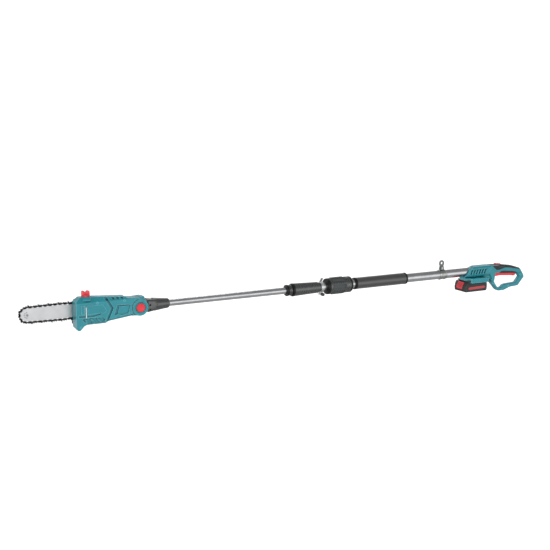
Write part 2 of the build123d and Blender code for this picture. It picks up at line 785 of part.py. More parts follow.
def battery_shell(side):
    """The hollow case, cut at the split; side is Keep.BOTTOM or Keep.TOP."""
    with BuildPart() as case:
        with BuildSketch(Plane.XZ.offset(battery_width / 2)):
            with BuildLine():
                FilletPolyline(*battery_outline(0), radius=3, close=True)
            make_face()
        extrude(amount=-battery_width)
        half, cut = battery_width / 2, 6
        with BuildSketch(Plane.XY.offset(battery_bottom - 1)):
            Polygon((battery_front - 1, half - cut - 1), (battery_front - 1, cut + 1 - half),
                    (battery_front + cut, -half), (battery_rear - cut, -half),
                    (battery_rear, cut - half), (battery_rear, half - cut),
                    (battery_rear - cut, half), (battery_front + cut, half), align=None)
        extrude(amount=battery_length, mode=Mode.INTERSECT)
        split(bisect_by=Plane.XY.offset(case_split), keep=side)
        with BuildSketch(Plane.XZ.offset(battery_width / 2 - wall)):
            with BuildLine():
                Polyline(*battery_outline(wall), close=True)
            make_face()
        extrude(amount=-battery_width + 2 * wall, mode=Mode.SUBTRACT)
        # window for the latch in the sloping front
        add(box((battery_front - 1, neck_start), (-latch_width / 2 - 0.5, latch_width / 2 + 0.5),
                (latch_low - 0.5, latch_high + 0.5)), mode=Mode.SUBTRACT)
    return case


battery_case_lower = battery_shell(Keep.BOTTOM)
with BuildPart() as battery_case_upper:
    add(battery_shell(Keep.TOP).part)
    # neck and flange that slide in the platform
    neck_bottom = case_top - wall
    with BuildSketch(Plane.YZ.offset(neck_start)):
        with Locations((0, (neck_bottom + deck_bottom - 0.3) / 2)):
            Rectangle(2 * rail_lip_half, deck_bottom - 0.3 - neck_bottom)
        with Locations((0, (lip_top + free_gap + deck_bottom - 0.3) / 2)):
            Rectangle(2 * flange_half, deck_bottom - 0.3 - lip_top - free_gap)
    extrude(amount=battery_rear - corner - neck_start)
    # notch that lets the terminal blades in from the rear
    with BuildSketch(Plane.XY.offset(deck_bottom - 7)):
        with Locations((terminal_x + 20, 0)):
            Rectangle(terminal_length + 44, 2 * terminal_half)
    extrude(amount=8, mode=Mode.SUBTRACT)
with BuildPart() as battery_cells:
    cell_start = latch_back + latch_travel + 1.0 + cell_radius
    with BuildSketch(Plane.XZ.offset(cell_length / 2)):
        for step in range(cell_count):
            with Locations((cell_start + step * (2 * cell_radius + 0.3),
                            battery_bottom + wall + cell_radius + 0.1)):
                Circle(cell_radius)
    extrude(amount=-cell_length)
foot_slope = nose_foot / (nose_bulge - battery_bottom)
nose_lean = nose_slope / (nose_top - nose_bulge)
with BuildPart() as battery_latch:
    with BuildSketch(Plane.XZ.offset(latch_width / 2)):
        with BuildLine():
            FilletPolyline(
                (battery_front + foot_slope * (nose_bulge - latch_low) - 1, latch_low),
                (battery_front - 1, nose_bulge),
                (battery_front + nose_lean * (latch_high - nose_bulge) - 1, latch_high),
                (latch_back, latch_high), (latch_back, latch_low), radius=0.8, close=True,
            )
        make_face()
    extrude(amount=-latch_width)
with BuildPart() as battery_latch_spring:
    with BuildSketch(Plane.YZ.offset(latch_back)):
        with Locations((0, latch_high - 4)):
            Circle(2.6)
            Circle(2.6 - spring_wire, mode=Mode.SUBTRACT)
    extrude(amount=neck_start - latch_back)


# ---------------------------------------------------------------- head: screw-together necks
neck_front = pivot_x + 31.0
neck_screw_places = points(pivot_x, [(38, -13), (38, 3), (68, -15.2), (68, 15.2)])
neck_head_at = -9.0
lead_z = 14.5
lead_r = 2.8
motor_front = sprocket_x + 28.0
motor_rear = motor_front + motor_length


def shift(x, low, high):
    return (x + low, x + high)


with BuildPart() as neck:
    add(cross_rod(pivot_x, 0, -knuckle_half_width, knuckle_half_width, knuckle_radius))
    add(box(shift(pivot_x, 0, 34), (-knuckle_half_width, knuckle_half_width), (-20, 20)))
    with BuildSketch(Plane.YZ.offset(neck_front)):
        RectangleRounded(46, neck_front_height, 9)
    with BuildSketch(Plane.YZ.offset(neck_rear - 16)):
        Circle(neck_rear_od / 2)
    loft()
    with BuildSketch(Plane.YZ.offset(neck_rear - 16)):
        Circle(neck_rear_od / 2)
    extrude(amount=16)
    chamfer(neck.faces().filter_by(Axis.X).sort_by(Axis.X)[-1].edges(), length=3)
    with BuildSketch(Plane.YZ.offset(neck_rear - neck_socket_depth - seat_gap)):
        Circle(upper_r + seat_gap)
    extrude(amount=neck_socket_depth + 1, mode=Mode.SUBTRACT)
    add(box(shift(pivot_x, 42, 62), (-5, 5), (-5, lead_z + 4)), mode=Mode.SUBTRACT)
    add(box(shift(pivot_x, -30, 44), (-5, 5), (lead_z - 4, lead_z + 4)), mode=Mode.SUBTRACT)
    add(cross_rod(pivot_x, 0, -20, 20, pivot_bolt_radius + pin_gap), mode=Mode.SUBTRACT)
    add(cross_rod(pivot_x, 0, -knuckle_half_width - 1, -knuckle_half_width + 5, 10 + seat_gap),
        mode=Mode.SUBTRACT)
    for x, z in neck_screw_places:
        add(cross_rod(x, z, -40, 12, screw_shank + screw_gap), mode=Mode.SUBTRACT)
        add(cross_rod(x, z, -40, neck_head_at, screw_head + screw_gap), mode=Mode.SUBTRACT)
with BuildPart() as neck_near:
    add(split(neck.part, bisect_by=Plane.XZ, keep=Keep.TOP, mode=Mode.PRIVATE))
with BuildPart() as neck_far:
    add(split(neck.part, bisect_by=Plane.XZ, keep=Keep.BOTTOM, mode=Mode.PRIVATE))
neck_screws = screws(neck_screw_places, neck_head_at, 11, screw_shank, screw_head, 2.4)
with BuildPart() as detent_ring:
    add(cross_rod(pivot_x, 0, -knuckle_half_width, -knuckle_half_width + 5, 10))
    add(cross_rod(pivot_x, 0, -20, 0, pivot_bolt_radius + pin_gap), mode=Mode.SUBTRACT)
    with BuildSketch(Plane.XZ.offset(knuckle_half_width + 1)):
        with Locations((pivot_x, 0)):
            with PolarLocations(9.6, 12):
                Rectangle(2, 1.6)
    extrude(amount=-3.5, mode=Mode.SUBTRACT)
with BuildPart() as motor_lead:
    with BuildLine() as lead_path:
        FilletPolyline((motor_rear + 0.2, 0, lead_z), (pivot_x + 46, 0, lead_z),
                       (pivot_x + 56, 0, 0), (pivot_x + 110, 0, 0), radius=5)
    with BuildSketch(Plane(origin=lead_path.line @ 0, z_dir=lead_path.line % 0)):
        Circle(lead_r)
    sweep()

# ---------------------------------------------------------------- head: housing
bevel_z = 33.0           # where the top bevel meets the near face
bevel_y = -15.0          # where it meets the top
head_outline = points(pivot_x, [
    (-218, 50), (-222, 42), (-222, -50), (-214, -59), (-207, -58), (-194, -43), (-188, -41.5),
    (-122, -41.5), (-114, -36), (-24, -25), (-10, -27.5), (12, -20), (20, 0), (12, 20), (12, 36),
    (2, 36), (-20, 34.5), (-47, 36), (-49, 41.5), (-117, 46.5), (-176, 50),
])
head_cavity = points(pivot_x, [
    (-216, 47), (-219, 41), (-219, -49), (-213, -55), (-208.5, -54.5), (-196, -40),
    (-189, -38.5), (-123.5, -38.5), (-115, -33), (-36, -23), (-36, 31), (-50, 33), (-52, 38.3),
    (-117, 43.4), (-176, 47),
])
head_screw_places = points(pivot_x, [
    (-208, -47), (-122, -35), (-56, 29), (-38.5, -15.5), (-150, 30), (-165, -34),
])
head_screw_at = head_near + 2.5
post_radius = 4.0
cap_x = head_front + oil_cap_to_front
cap_y = -10.0
cone_top = 52.0
filler_r = 9.0
bearing_r = 11.0
bearing_width = 5.0
shaft_r = 5.0
far_bearing_at = 4.7
near_bearing_at = head_near + wall + 1
motor_ribs = (motor_front + 6, motor_rear - 12)
bar_pad_half = 11.0
bar_near = bar_plane - bar_thickness / 2
bar_far = bar_plane + bar_thickness / 2
bar_pad = (sprocket_x - 86, sprocket_x - 23)
stud_places = [(sprocket_x - 68, bar_height), (sprocket_x - 44, bar_height)]
stud_r = 3.9
nut_r = 7.0
recess_r = button_radius + 1.5
recess_floor = -26.0
spring_floor = -20.5
bolt_near_end = -24.0
stem_r = 4.0
tension_y = 6.8
tension_z = -28.0
window_x = (pivot_x - 191, pivot_x - 187)
window_z = (-10, 19)


def below_bevel(inset):
    """End outline of the head with the bevel along its top near edge."""
    return [(head_near + inset, -70), (head_near + inset, bevel_z - inset * 0.4),
            (bevel_y + inset * 0.4, 50.5 - inset), (head_far - inset, 50.5 - inset),
            (head_far - inset, -70)]


with BuildPart() as cavity:
    with BuildSketch(Plane.XZ.offset(-head_near - wall)):
        with BuildLine():
            Polyline(*head_cavity, close=True)
        make_face()
    extrude(amount=head_near - head_far + 2 * wall)
    with BuildSketch(Plane.YZ.offset(head_front - 5)):
        Polygon(*below_bevel(wall), align=None)
    extrude(amount=240, mode=Mode.INTERSECT)
    # what stays inside it: screw posts, motor ribs, bearing rings, tension screw block
    for x, z in head_screw_places:
        add(cross_rod(x, z, head_near, head_far, post_radius), mode=Mode.SUBTRACT)
    for x in motor_ribs:
        add(box((x, x + 4), (-40, 20), (-60, 60)), mode=Mode.SUBTRACT)
    with BuildSketch(Plane.XZ.offset(-near_bearing_at - bearing_width)):
        with Locations((sprocket_x, bar_height)):
            Circle(bearing_r + 3)
    extrude(amount=10, mode=Mode.SUBTRACT)
    with BuildSketch(Plane.XZ.offset(-far_bearing_at)):
        with Locations((sprocket_x, bar_height)):
            Circle(bearing_r + 3)
    extrude(amount=-10, mode=Mode.SUBTRACT)
    add(box(shift(pivot_x, -199, -191), (2.5, 12), (tension_z - 5, tension_z + 5)),
        mode=Mode.SUBTRACT)
with BuildPart() as head:
    with BuildSketch(Plane.XZ.offset(-head_near)):
        with BuildLine():
            Polyline(*head_outline, close=True)
        make_face()
    extrude(amount=head_near - head_far)
    with BuildSketch(Plane.YZ.offset(head_front - 5)):
        Polygon(*below_bevel(0), align=None)
    extrude(amount=250, mode=Mode.INTERSECT)
    # filler cone
    with BuildSketch(Plane.XY.offset(41)):
        with Locations((cap_x, cap_y)):
            Circle(19)
    extrude(amount=cone_top - 41, taper=18)
    # pivot bosses and the arm that carries the far one
    with BuildSketch(Plane.XY.offset(-22)):
        with BuildLine():
            Polyline(*points(pivot_x, [(-64, 10), (-60, head_far), (-34, pivot_half_width),
                                       (0, pivot_half_width), (0, 10)]), close=True)
        make_face()
    extrude(amount=44)
    add(cross_rod(pivot_x, 0, -pivot_half_width, pivot_half_width, pivot_radius))
    # pad under the bar
    add(box(bar_pad, (head_far - 1, bar_near - seat_gap),
            (bar_height - bar_pad_half, bar_height + bar_pad_half)))
    add(cavity.part, mode=Mode.SUBTRACT)
    # space for the knuckle and its swing
    add(cross_rod(pivot_x, 0, -knuckle_half_width - 0.5, knuckle_half_width + 0.5,
                  knuckle_radius + 0.5), mode=Mode.SUBTRACT)
    with BuildSketch(Plane.XZ.offset(knuckle_half_width + 0.5)):
        with Locations((pivot_x, 0)):
            Circle(knuckle_radius + 3.5)
        with Locations((pivot_x - 12 - 50, 0)):
            Rectangle(100, 100, mode=Mode.SUBTRACT)
    extrude(amount=-2 * knuckle_half_width - 1, mode=Mode.SUBTRACT)
    add(box(shift(pivot_x, -38, -18), (-5, 5), (lead_z - 4, lead_z + 4)), mode=Mode.SUBTRACT)
    # pivot bolt, button recess, spring groove
    add(cross_rod(pivot_x, 0, -40, 40, pivot_bolt_radius + seat_gap), mode=Mode.SUBTRACT)
    add(cross_rod(pivot_x, 0, -40, recess_floor, recess_r), mode=Mode.SUBTRACT)
    add(cross_rod(pivot_x, 0, -40, spring_floor, 11.5), mode=Mode.SUBTRACT)
    add(cross_rod(pivot_x, 0, pivot_half_width - 5, 40, 10.2), mode=Mode.SUBTRACT)
    # motor, bearings, shaft
    with BuildSketch(Plane.YZ.offset(motor_front)):
        with Locations((motor_axis_y, bar_height)):
            Circle(motor_radius + seat_gap)
    extrude(amount=motor_length, mode=Mode.SUBTRACT)
    add(cross_rod(sprocket_x, bar_height, near_bearing_at, near_bearing_at + 12,
                  bearing_r + seat_gap), mode=Mode.SUBTRACT)
    add(cross_rod(sprocket_x, bar_height, far_bearing_at - 2, far_bearing_at + bearing_width,
                  bearing_r + seat_gap), mode=Mode.SUBTRACT)
    add(cross_rod(sprocket_x, bar_height, 0, 20, shaft_r + 0.6), mode=Mode.SUBTRACT)
    # studs, tension screw, filler hole, oil window
    for x, z in stud_places:
        add(cross_rod(x, z, head_far - 3.2, 20, stud_r + seat_gap), mode=Mode.SUBTRACT)
    with BuildSketch(Plane.YZ.offset(head_front - 1)):
        with Locations((tension_y, tension_z)):
            Circle(3.5)
    extrude(amount=4.5, mode=Mode.SUBTRACT)
    with BuildSketch(Plane.YZ.offset(head_front)):
        with Locations((tension_y, tension_z)):
            Circle(2 + pin_gap)
    extrude(amount=33, mode=Mode.SUBTRACT)
    with BuildSketch(Plane.XY.offset(30)):
        with Locations((cap_x, cap_y)):
            Circle(filler_r + 2.5 + seat_gap)
    extrude(amount=30, mode=Mode.SUBTRACT)
    add(box(window_x, (head_near - 1, head_near + wall + 1), window_z), mode=Mode.SUBTRACT)
    # screws
    for x, z in head_screw_places:
        add(cross_rod(x, z, -40, 9, screw_shank + screw_gap), mode=Mode.SUBTRACT)
        add(cross_rod(x, z, -40, head_screw_at, screw_head + screw_gap), mode=Mode.SUBTRACT)
    # vent notches along the top, seam and panel lines on the near face
    for x in (-92, -77, -62):
        add(box(shift(pivot_x, x, x + 6), (bevel_y, bevel_y + 12), (39, 50)), mode=Mode.SUBTRACT)
    with BuildSketch(Plane.XZ.offset(-head_near)):
        with BuildLine():
            Polyline(*points(pivot_x, [(-120, 36), (-98, 8), (-115, -35), (-113, -35), (-96, 8),
                                       (-118, 36)]), close=True)
        make_face()
        with BuildLine():
            Polyline(*points(pivot_x, [(-76, 9), (-33, 12), (-43, -14), (-86, -17)]), close=True)
        make_face()
        with BuildLine():
            Polyline(*points(pivot_x, [(-213, -11), (-173, -12), (-142, -9), (-142, -8),
                                       (-173, -11), (-213, -10)]), close=True)
        make_face()
    extrude(amount=-1.2, mode=Mode.SUBTRACT)
with BuildPart() as head_housing_near:
    add(split(head.part, bisect_by=Plane.XZ, keep=Keep.TOP, mode=Mode.PRIVATE))
with BuildPart() as head_housing_far:
    add(split(head.part, bisect_by=Plane.XZ, keep=Keep.BOTTOM, mode=Mode.PRIVATE))
head_screws = screws(head_screw_places, head_screw_at, 8, screw_shank, screw_head, 2.4)

with BuildPart() as pivot_bolt:
    add(cross_rod(pivot_x, 0, bolt_near_end, pivot_half_width - 5, pivot_bolt_radius))
    add(cross_rod(pivot_x, 0, pivot_half_width - 5, pivot_half_width, 10))
    add(cross_rod(pivot_x, 0, bolt_near_end - 1, bolt_near_end + 13, stem_r + pin_gap),
        mode=Mode.SUBTRACT)
    with BuildSketch(Plane.XZ.offset(-pivot_half_width)):
        with Locations((pivot_x, 0)):
            RegularPolygon(5, 6)
    extrude(amount=3, mode=Mode.SUBTRACT)
cap_outer = -pivot_half_width - button_stand_out
cap_inner = cap_outer + 5.0
with BuildPart() as lock_button:
    add(cross_rod(pivot_x, 0, cap_outer, cap_inner, button_radius))
    fillet(lock_button.faces().sort_by(Axis.Y)[0].edges(), 1.5)
    add(cross_rod(pivot_x, 0, cap_inner, bolt_near_end + 5, stem_r))
with BuildPart() as lock_spring:
    add(cross_rod(pivot_x, 0, cap_inner + 0.05, spring_floor - 0.05, 11))
    add(cross_rod(pivot_x, 0, -40, 0, 9.6), mode=Mode.SUBTRACT)

# ---------------------------------------------------------------- head: motor and drive
with BuildPart() as motor_case:
    with BuildSketch(Plane.YZ.offset(motor_front)):
        with Locations((motor_axis_y, bar_height)):
            Circle(motor_radius)
    extrude(amount=motor_length)
    with BuildSketch(Plane.YZ.offset(motor_front + 3)):
        with Locations((motor_axis_y, bar_height)):
            Circle(motor_radius - 2)
    extrude(amount=motor_length - 6, mode=Mode.SUBTRACT)
    with BuildSketch(Plane.YZ.offset(motor_front)):
        with Locations((motor_axis_y, bar_height)):
            Circle(2.5 + pin_gap)
    extrude(amount=motor_length, mode=Mode.SUBTRACT)
pinion_start = sprocket_x + 14.0
with BuildPart() as motor_rotor:
    with BuildSketch(Plane.YZ.offset(pinion_start)):
        with Locations((motor_axis_y, bar_height)):
            Circle(2.5)
    extrude(amount=motor_rear - pinion_start - 1)
    with BuildSketch(Plane.YZ.offset(motor_front + 8)):
        with Locations((motor_axis_y, bar_height)):
            Circle(motor_radius - 4.5)
    extrude(amount=motor_length - 16)


def bevel(teeth, mate, bore, back, turn):
    """A bevel gear with its apex at the origin and its axis along +Z."""
    pitch, other = teeth * gear_module / 2, mate * gear_module / 2
    cone = math.hypot(pitch, other)
    sin, cos = pitch / cone, other / cone
    small = 1 - gear_face / cone
    root_r, root_z = pitch - 1.25 * gear_module * cos, other + 1.25 * gear_module * sin
    section = [(-1.2, -1.4 * gear_module), (1.2, -1.4 * gear_module),
               (0.5, 0.85 * gear_module), (-0.5, 0.85 * gear_module)]
    with BuildPart() as tooth:
        for size in (1, small):
            with BuildSketch(Plane(origin=(pitch * size, 0, other * size), x_dir=(0, -1, 0),
                                   z_dir=(sin, 0, cos))):
                Polygon(*[(a * size, b * size) for a, b in section], align=None)
        loft()
    with BuildPart() as gear:
        with BuildSketch(Plane.XZ):
            with BuildLine():
                Polyline((bore, root_z * small), (root_r * small, root_z * small),
                         (root_r, root_z), (root_r, back), (bore, back), close=True)
            make_face()
        revolve(axis=Axis.Z)
        with PolarLocations(0, teeth, start_angle=turn):
            add(tooth.part)
    return gear


apex = (sprocket_x, motor_axis_y, bar_height)
with BuildPart() as bevel_gear:
    with Locations(Plane(origin=apex, x_dir=(1, 0, 0), z_dir=(0, 1, 0))):
        add(bevel(gear_teeth, pinion_teeth, shaft_r + seat_gap, 12.0, 0).part)
with BuildPart() as bevel_pinion:
    with Locations(Plane(origin=apex, x_dir=(0, 1, 0), z_dir=(1, 0, 0))):
        add(bevel(pinion_teeth, gear_teeth, 2.5 + seat_gap, gear_teeth * gear_module / 2 + 2.0,
                  180 / pinion_teeth).part)
with BuildPart() as drive_shaft:
    add(cross_rod(sprocket_x, bar_height, near_bearing_at, bar_plane + 5, shaft_r))
with BuildPart() as shaft_bearings:
    for low in (near_bearing_at, far_bearing_at):
        add(cross_rod(sprocket_x, bar_height, low, low + bearing_width, bearing_r))
        add(cross_rod(sprocket_x, bar_height, low, low + bearing_width, shaft_r + pin_gap),
            mode=Mode.SUBTRACT)
sprocket_pitch_r = sprocket_teeth * 2 * chain_pitch / (2 * math.pi)
rim_r = sprocket_pitch_r - rivet_lift - 0.2
with BuildPart() as chain_sprocket:
    for low, high in ((bar_plane - 2.8, bar_plane - 0.85), (bar_plane + 0.85, bar_plane + 2.8)):
        add(cross_rod(sprocket_x, bar_height, low, high, rim_r))
    add(cross_rod(sprocket_x, bar_height, bar_plane - 2.8, bar_plane + 2.8, 10.4))
    with BuildSketch(Plane.XZ.offset(-bar_plane - 2)):
        with Locations((sprocket_x, bar_height)):
            with PolarLocations(9.8, sprocket_teeth):
                Circle(2)
    extrude(amount=4)
    add(cross_rod(sprocket_x, bar_height, 0, 40, shaft_r + seat_gap), mode=Mode.SUBTRACT)

# ---------------------------------------------------------------- head: oil
tank_x = (pivot_x - 212, pivot_x - 168)
tank_y = (head_near + wall + 1, tension_y - 2.4)
tank_z = (-22, 43)
with BuildPart() as oil_tank:
    add(box(tank_x, tank_y, tank_z))
    with BuildSketch(Plane.YZ.offset(tank_x[0] - 1)):
        Polygon((tank_y[0] - 1, bevel_z - 6), (bevel_y + 1.5, 44), (tank_y[0] - 1, 44),
                align=None)
    extrude(amount=50, mode=Mode.SUBTRACT)
    with BuildSketch(Plane.XY.offset(34)):
        with Locations((cap_x, cap_y)):
            Circle(filler_r + 2.5)
    extrude(amount=cone_top - 34)
    add(box((tank_x[0] + 1.5, tank_x[1] - 1.5), (tank_y[0] + 1.5, tank_y[1] - 1.5),
            (tank_z[0] + 1.5, 26)), mode=Mode.SUBTRACT)
    with BuildSketch(Plane.XY.offset(20)):
        with Locations((cap_x, cap_y)):
            Circle(filler_r + pin_gap)
    extrude(amount=40, mode=Mode.SUBTRACT)
with BuildPart() as oil_window:
    add(box((window_x[0] + 0.05, window_x[1] - 0.05), (head_near - 0.3, head_near + wall + 0.9),
            (window_z[0] + 0.05, window_z[1] - 0.05)))
with BuildPart() as oil_cap:
    with BuildSketch(Plane.XY.offset(cone_top + 0.3)):
        with Locations((cap_x, cap_y)):
            Circle(oil_cap_radius)
    extrude(amount=oil_cap_height)
    with BuildSketch(Plane.XY.offset(cone_top - 8)):
        with Locations((cap_x, cap_y)):
            Circle(filler_r)
    extrude(amount=9)
    # thumb grip: the sides of the upper half are cut back to a bar with a V in its top
    for side in (-1, 1):
        add(box((cap_x - 20, cap_x + 20), tuple(sorted((cap_y + side * 5, cap_y + side * 20))),
                (cone_top + 9, cone_top + 30)), mode=Mode.SUBTRACT)
    with BuildSketch(Plane.XZ.offset(-cap_y - 20)):
        with BuildLine():
            top = cone_top + 0.3 + oil_cap_height
            Polyline((cap_x - 5, top + 1), (cap_x + 5, top + 1), (cap_x, top - 4), close=True)
        make_face()
    extrude(amount=40, mode=Mode.SUBTRACT)

# ---------------------------------------------------------------- bar
nose_x = bar_nose + nose_radius
belly_x = (nose_x + sprocket_x) / 2
rail = [(nose_x, nose_radius), (belly_x, belly_radius), (sprocket_x, sprocket_pitch_r - rivet_lift)]


def hull(extra):
    """Tangent outline round the three circles of the rail, each grown by extra."""
    with BuildSketch(Plane.XZ) as outline:
        for x, r in rail:
            with Locations((x, bar_height)):
                Circle(r + extra)
        make_hull()
    return outline.sketch


hub_r = 4.5
with BuildPart() as guide_bar:
    extrude(hull(0).moved(Location((0, bar_far, 0))), amount=bar_thickness, dir=(0, -1, 0))
    with BuildPart(mode=Mode.SUBTRACT):
        extrude(hull(1).moved(Location((0, bar_plane + 0.75, 0))), amount=1.5, dir=(0, -1, 0))
        extrude(hull(-groove_depth).moved(Location((0, bar_plane + 1, 0))), amount=2,
                dir=(0, -1, 0), mode=Mode.SUBTRACT)
    add(cross_rod(nose_x, bar_height, bar_plane - 0.9, bar_plane + 0.9, nose_radius - 2),
        mode=Mode.SUBTRACT)
    add(cross_rod(nose_x, bar_height, bar_near, bar_far, hub_r))
    add(box((sprocket_x - 20, sprocket_x + 30), (0, 40), (-60, 60)), mode=Mode.SUBTRACT)
    with BuildSketch(Plane.XZ.offset(-bar_far - 1)):
        with Locations(((stud_places[0][0] + stud_places[1][0]) / 2, bar_height)):
            SlotOverall(48, 2 * stud_r + 0.2)
        with Locations((head_front - 8, bar_height - 9)):
            Circle(1.8)
    extrude(amount=bar_thickness + 2, mode=Mode.SUBTRACT)
nose_sprocket_r = nose_radius - 2.6
with BuildPart() as nose_sprocket:
    with BuildSketch(Plane.XZ.offset(-bar_plane - 0.7)):
        with Locations((nose_x, bar_height)):
            Circle(nose_sprocket_r - 3)
            Circle(hub_r + pin_gap, mode=Mode.SUBTRACT)
            with PolarLocations(nose_sprocket_r - 2.2, nose_teeth):
                Polygon((-1.4, -2.4), (2.1, -0.7), (2.1, 0.7), (-1.4, 2.4), align=None)
    extrude(amount=1.4)
nut_at = bar_far + 3.1
with BuildPart() as bar_studs:      # each stud with its nut on
    for x, z in stud_places:
        add(cross_rod(x, z, head_far - 3.1, bar_far + 10, stud_r))
    with BuildSketch(Plane.XZ.offset(-nut_at)):
        with Locations(*stud_places):
            RegularPolygon(nut_r, 6)
    extrude(amount=-5.5)
with BuildPart() as tension_screw:
    with BuildSketch(Plane.YZ.offset(head_front - 1.5)):
        with Locations((tension_y, tension_z)):
            Circle(3.2)
    extrude(amount=4)
    with BuildSketch(Plane.YZ.offset(head_front - 1.6)):
        with Locations((tension_y, tension_z)):
            Rectangle(5, 0.9)
    extrude(amount=1.6, mode=Mode.SUBTRACT)
    with BuildSketch(Plane.YZ.offset(head_front + 2.5)):
        with Locations((tension_y, tension_z)):
            Circle(2)
    extrude(amount=27)

# ---------------------------------------------------------------- sprocket cover
cover_outline = points(pivot_x, [
    (-220, -44), (-221, 26), (-210, 39), (-110, 42), (-92, 30), (-90, -20), (-104, -38),
])
cover_inner = points(pivot_x, [
    (-230, -41), (-230, 36), (-210, 36), (-111, 39), (-95, 28.5), (-93, -19), (-105.5, -35),
    (-210, -41),
])
cover_back = head_far + seat_gap
cover_face = cover_back + cover_depth
with BuildPart() as sprocket_cover:
    with BuildSketch(Plane.XZ.offset(-cover_back)):
        with BuildLine():
            Polyline(*cover_outline, close=True)
        make_face()
    extrude(amount=-cover_depth)
    chamfer(sprocket_cover.faces().sort_by(Axis.Y)[-1].edges(), 3)
    with BuildSketch(Plane.XZ.offset(-cover_back + 1)):
        with BuildLine():
            Polyline(*cover_inner, close=True)
        make_face()
    extrude(amount=-cover_depth + wall - 1, mode=Mode.SUBTRACT)
    # pad that holds the bar, with a pocket for the nuts
    pad_x = (stud_places[0][0] - 14, stud_places[1][0] + 14)
    add(box(pad_x, (bar_far + seat_gap, cover_face - 1),
            (bar_height - 11, bar_height + 11)))
    add(box((pad_x[0] + 3, pad_x[1] - 3), (nut_at, cover_face + 1),
            (bar_height - 8.5, bar_height + 8.5)), mode=Mode.SUBTRACT)
    for x, z in stud_places:
        add(cross_rod(x, z, 0, 50, stud_r + seat_gap), mode=Mode.SUBTRACT)

# ---------------------------------------------------------------- chain
rivet_line = [(nose_x, nose_radius + rivet_lift), (belly_x, belly_radius + rivet_lift),
              (sprocket_x, sprocket_pitch_r)]


def tangent(a, b):
    """Upward normal of the line that touches circles a and b on top, as an angle from +X."""
    return math.acos((b[1] - a[1]) / (a[0] - b[0]))


def chain_path():
    """Dense points of the rivet line, along the top to the sprocket and back below."""
    first, second = tangent(*rivet_line[:2]), tangent(*rivet_line[1:])
    arcs = [(rivet_line[1], first, second), (rivet_line[2], second, -second),
            (rivet_line[1], -second, -first), (rivet_line[0], -first, first - 2 * math.pi)]
    line = []
    for (x, r), start, end in arcs:
        steps = max(2, int(abs(start - end) * r / 0.1))
        for step in range(steps + 1):
            angle = start + (end - start) * step / steps
            line.append((x + r * math.cos(angle), bar_height + r * math.sin(angle)))
    return line + line[:1]


def places_along(line, count):
    """Equally spaced points on a closed line of points."""
    lengths = [math.dist(a, b) for a, b in zip(line, line[1:])]
    total, found, walked, piece = sum(lengths), [], 0.0, 0
    for step in range(count):
        target = total * step / count
        while walked + lengths[piece] < target:
            walked += lengths[piece]
            piece += 1
        share = (target - walked) / lengths[piece]
        (ax, az), (bx, bz) = line[piece], line[piece + 1]
        found.append((ax + (bx - ax) * share, az + (bz - az) * share))
    return found


rivet_path = chain_path()
path_length = sum(math.dist(a, b) for a, b in zip(rivet_path, rivet_path[1:]))
link_pairs = 2 * round(path_length / (4 * chain_pitch))
rivets = places_along(rivet_path, 2 * link_pairs)


def link_planes(first, y):
    """Workplanes of the links between rivets first and first+1, every second pair of rivets."""
    planes = []
    for index in range(first, 2 * link_pairs + first, 2):
        (ax, az), (bx, bz) = rivets[index % len(rivets)], rivets[(index + 1) % len(rivets)]
        planes.append(Plane(origin=((ax + bx) / 2, y, (az + bz) / 2), x_dir=(bx - ax, 0, bz - az),
                            z_dir=(0, -1, 0)))
    return planes


half_link = drive_link_thickness / 2
with BuildPart() as chain_drive_links:
    with BuildSketch(*link_planes(0, bar_plane + half_link)):
        SlotCenterToCenter(chain_pitch, 5)
        Polygon((-3, -1.5), (3, -1.5), (0.9, -tang_depth), (-0.9, -tang_depth), align=None)
    extrude(amount=drive_link_thickness)
near_straps = link_planes(1, bar_plane - half_link)
far_straps = link_planes(1, bar_plane + half_link + strap_thickness)
near_cutters, far_cutters = near_straps[0::4], far_straps[2::4]
near_straps = [plane for index, plane in enumerate(near_straps) if index % 4]
far_straps = [plane for index, plane in enumerate(far_straps) if index % 4 != 2]
with BuildPart() as chain_tie_straps:
    with BuildSketch(*near_straps, *far_straps):
        SlotCenterToCenter(chain_pitch, 2 * strap_half_height)
    extrude(amount=strap_thickness)


def cutter_outline():
    """Side plate of a cutter with its depth gauge; the cutting edge faces the gauge."""
    SlotCenterToCenter(chain_pitch, 2 * strap_half_height)
    Polygon((-0.5, 0), (6.3, 0), (5.6, cutter_height - 1.4), (0.6, cutter_height - 1.2),
            align=None)
    Polygon((-6.4, 0), (-2.6, 0), (-3.2, cutter_height - 2), (-4.8, cutter_height - 2),
            align=None)


top_plate = [(0.5, cutter_height - 1.3), (5.7, cutter_height - 1.7), (5.5, cutter_height - 0.6),
             (0.2, cutter_height)]
with BuildPart() as chain_cutters:
    with BuildSketch(*near_cutters, *far_cutters):
        cutter_outline()
    extrude(amount=strap_thickness)
    with BuildSketch(*near_cutters):
        Polygon(*top_plate, align=None)
    extrude(amount=3.6 - half_link)
    with BuildSketch(*[plane.offset(half_link + strap_thickness - 3.6 + 2.4 - half_link)
                       for plane in far_cutters]):
        Polygon(*top_plate, align=None)
    extrude(amount=3.6 - half_link)


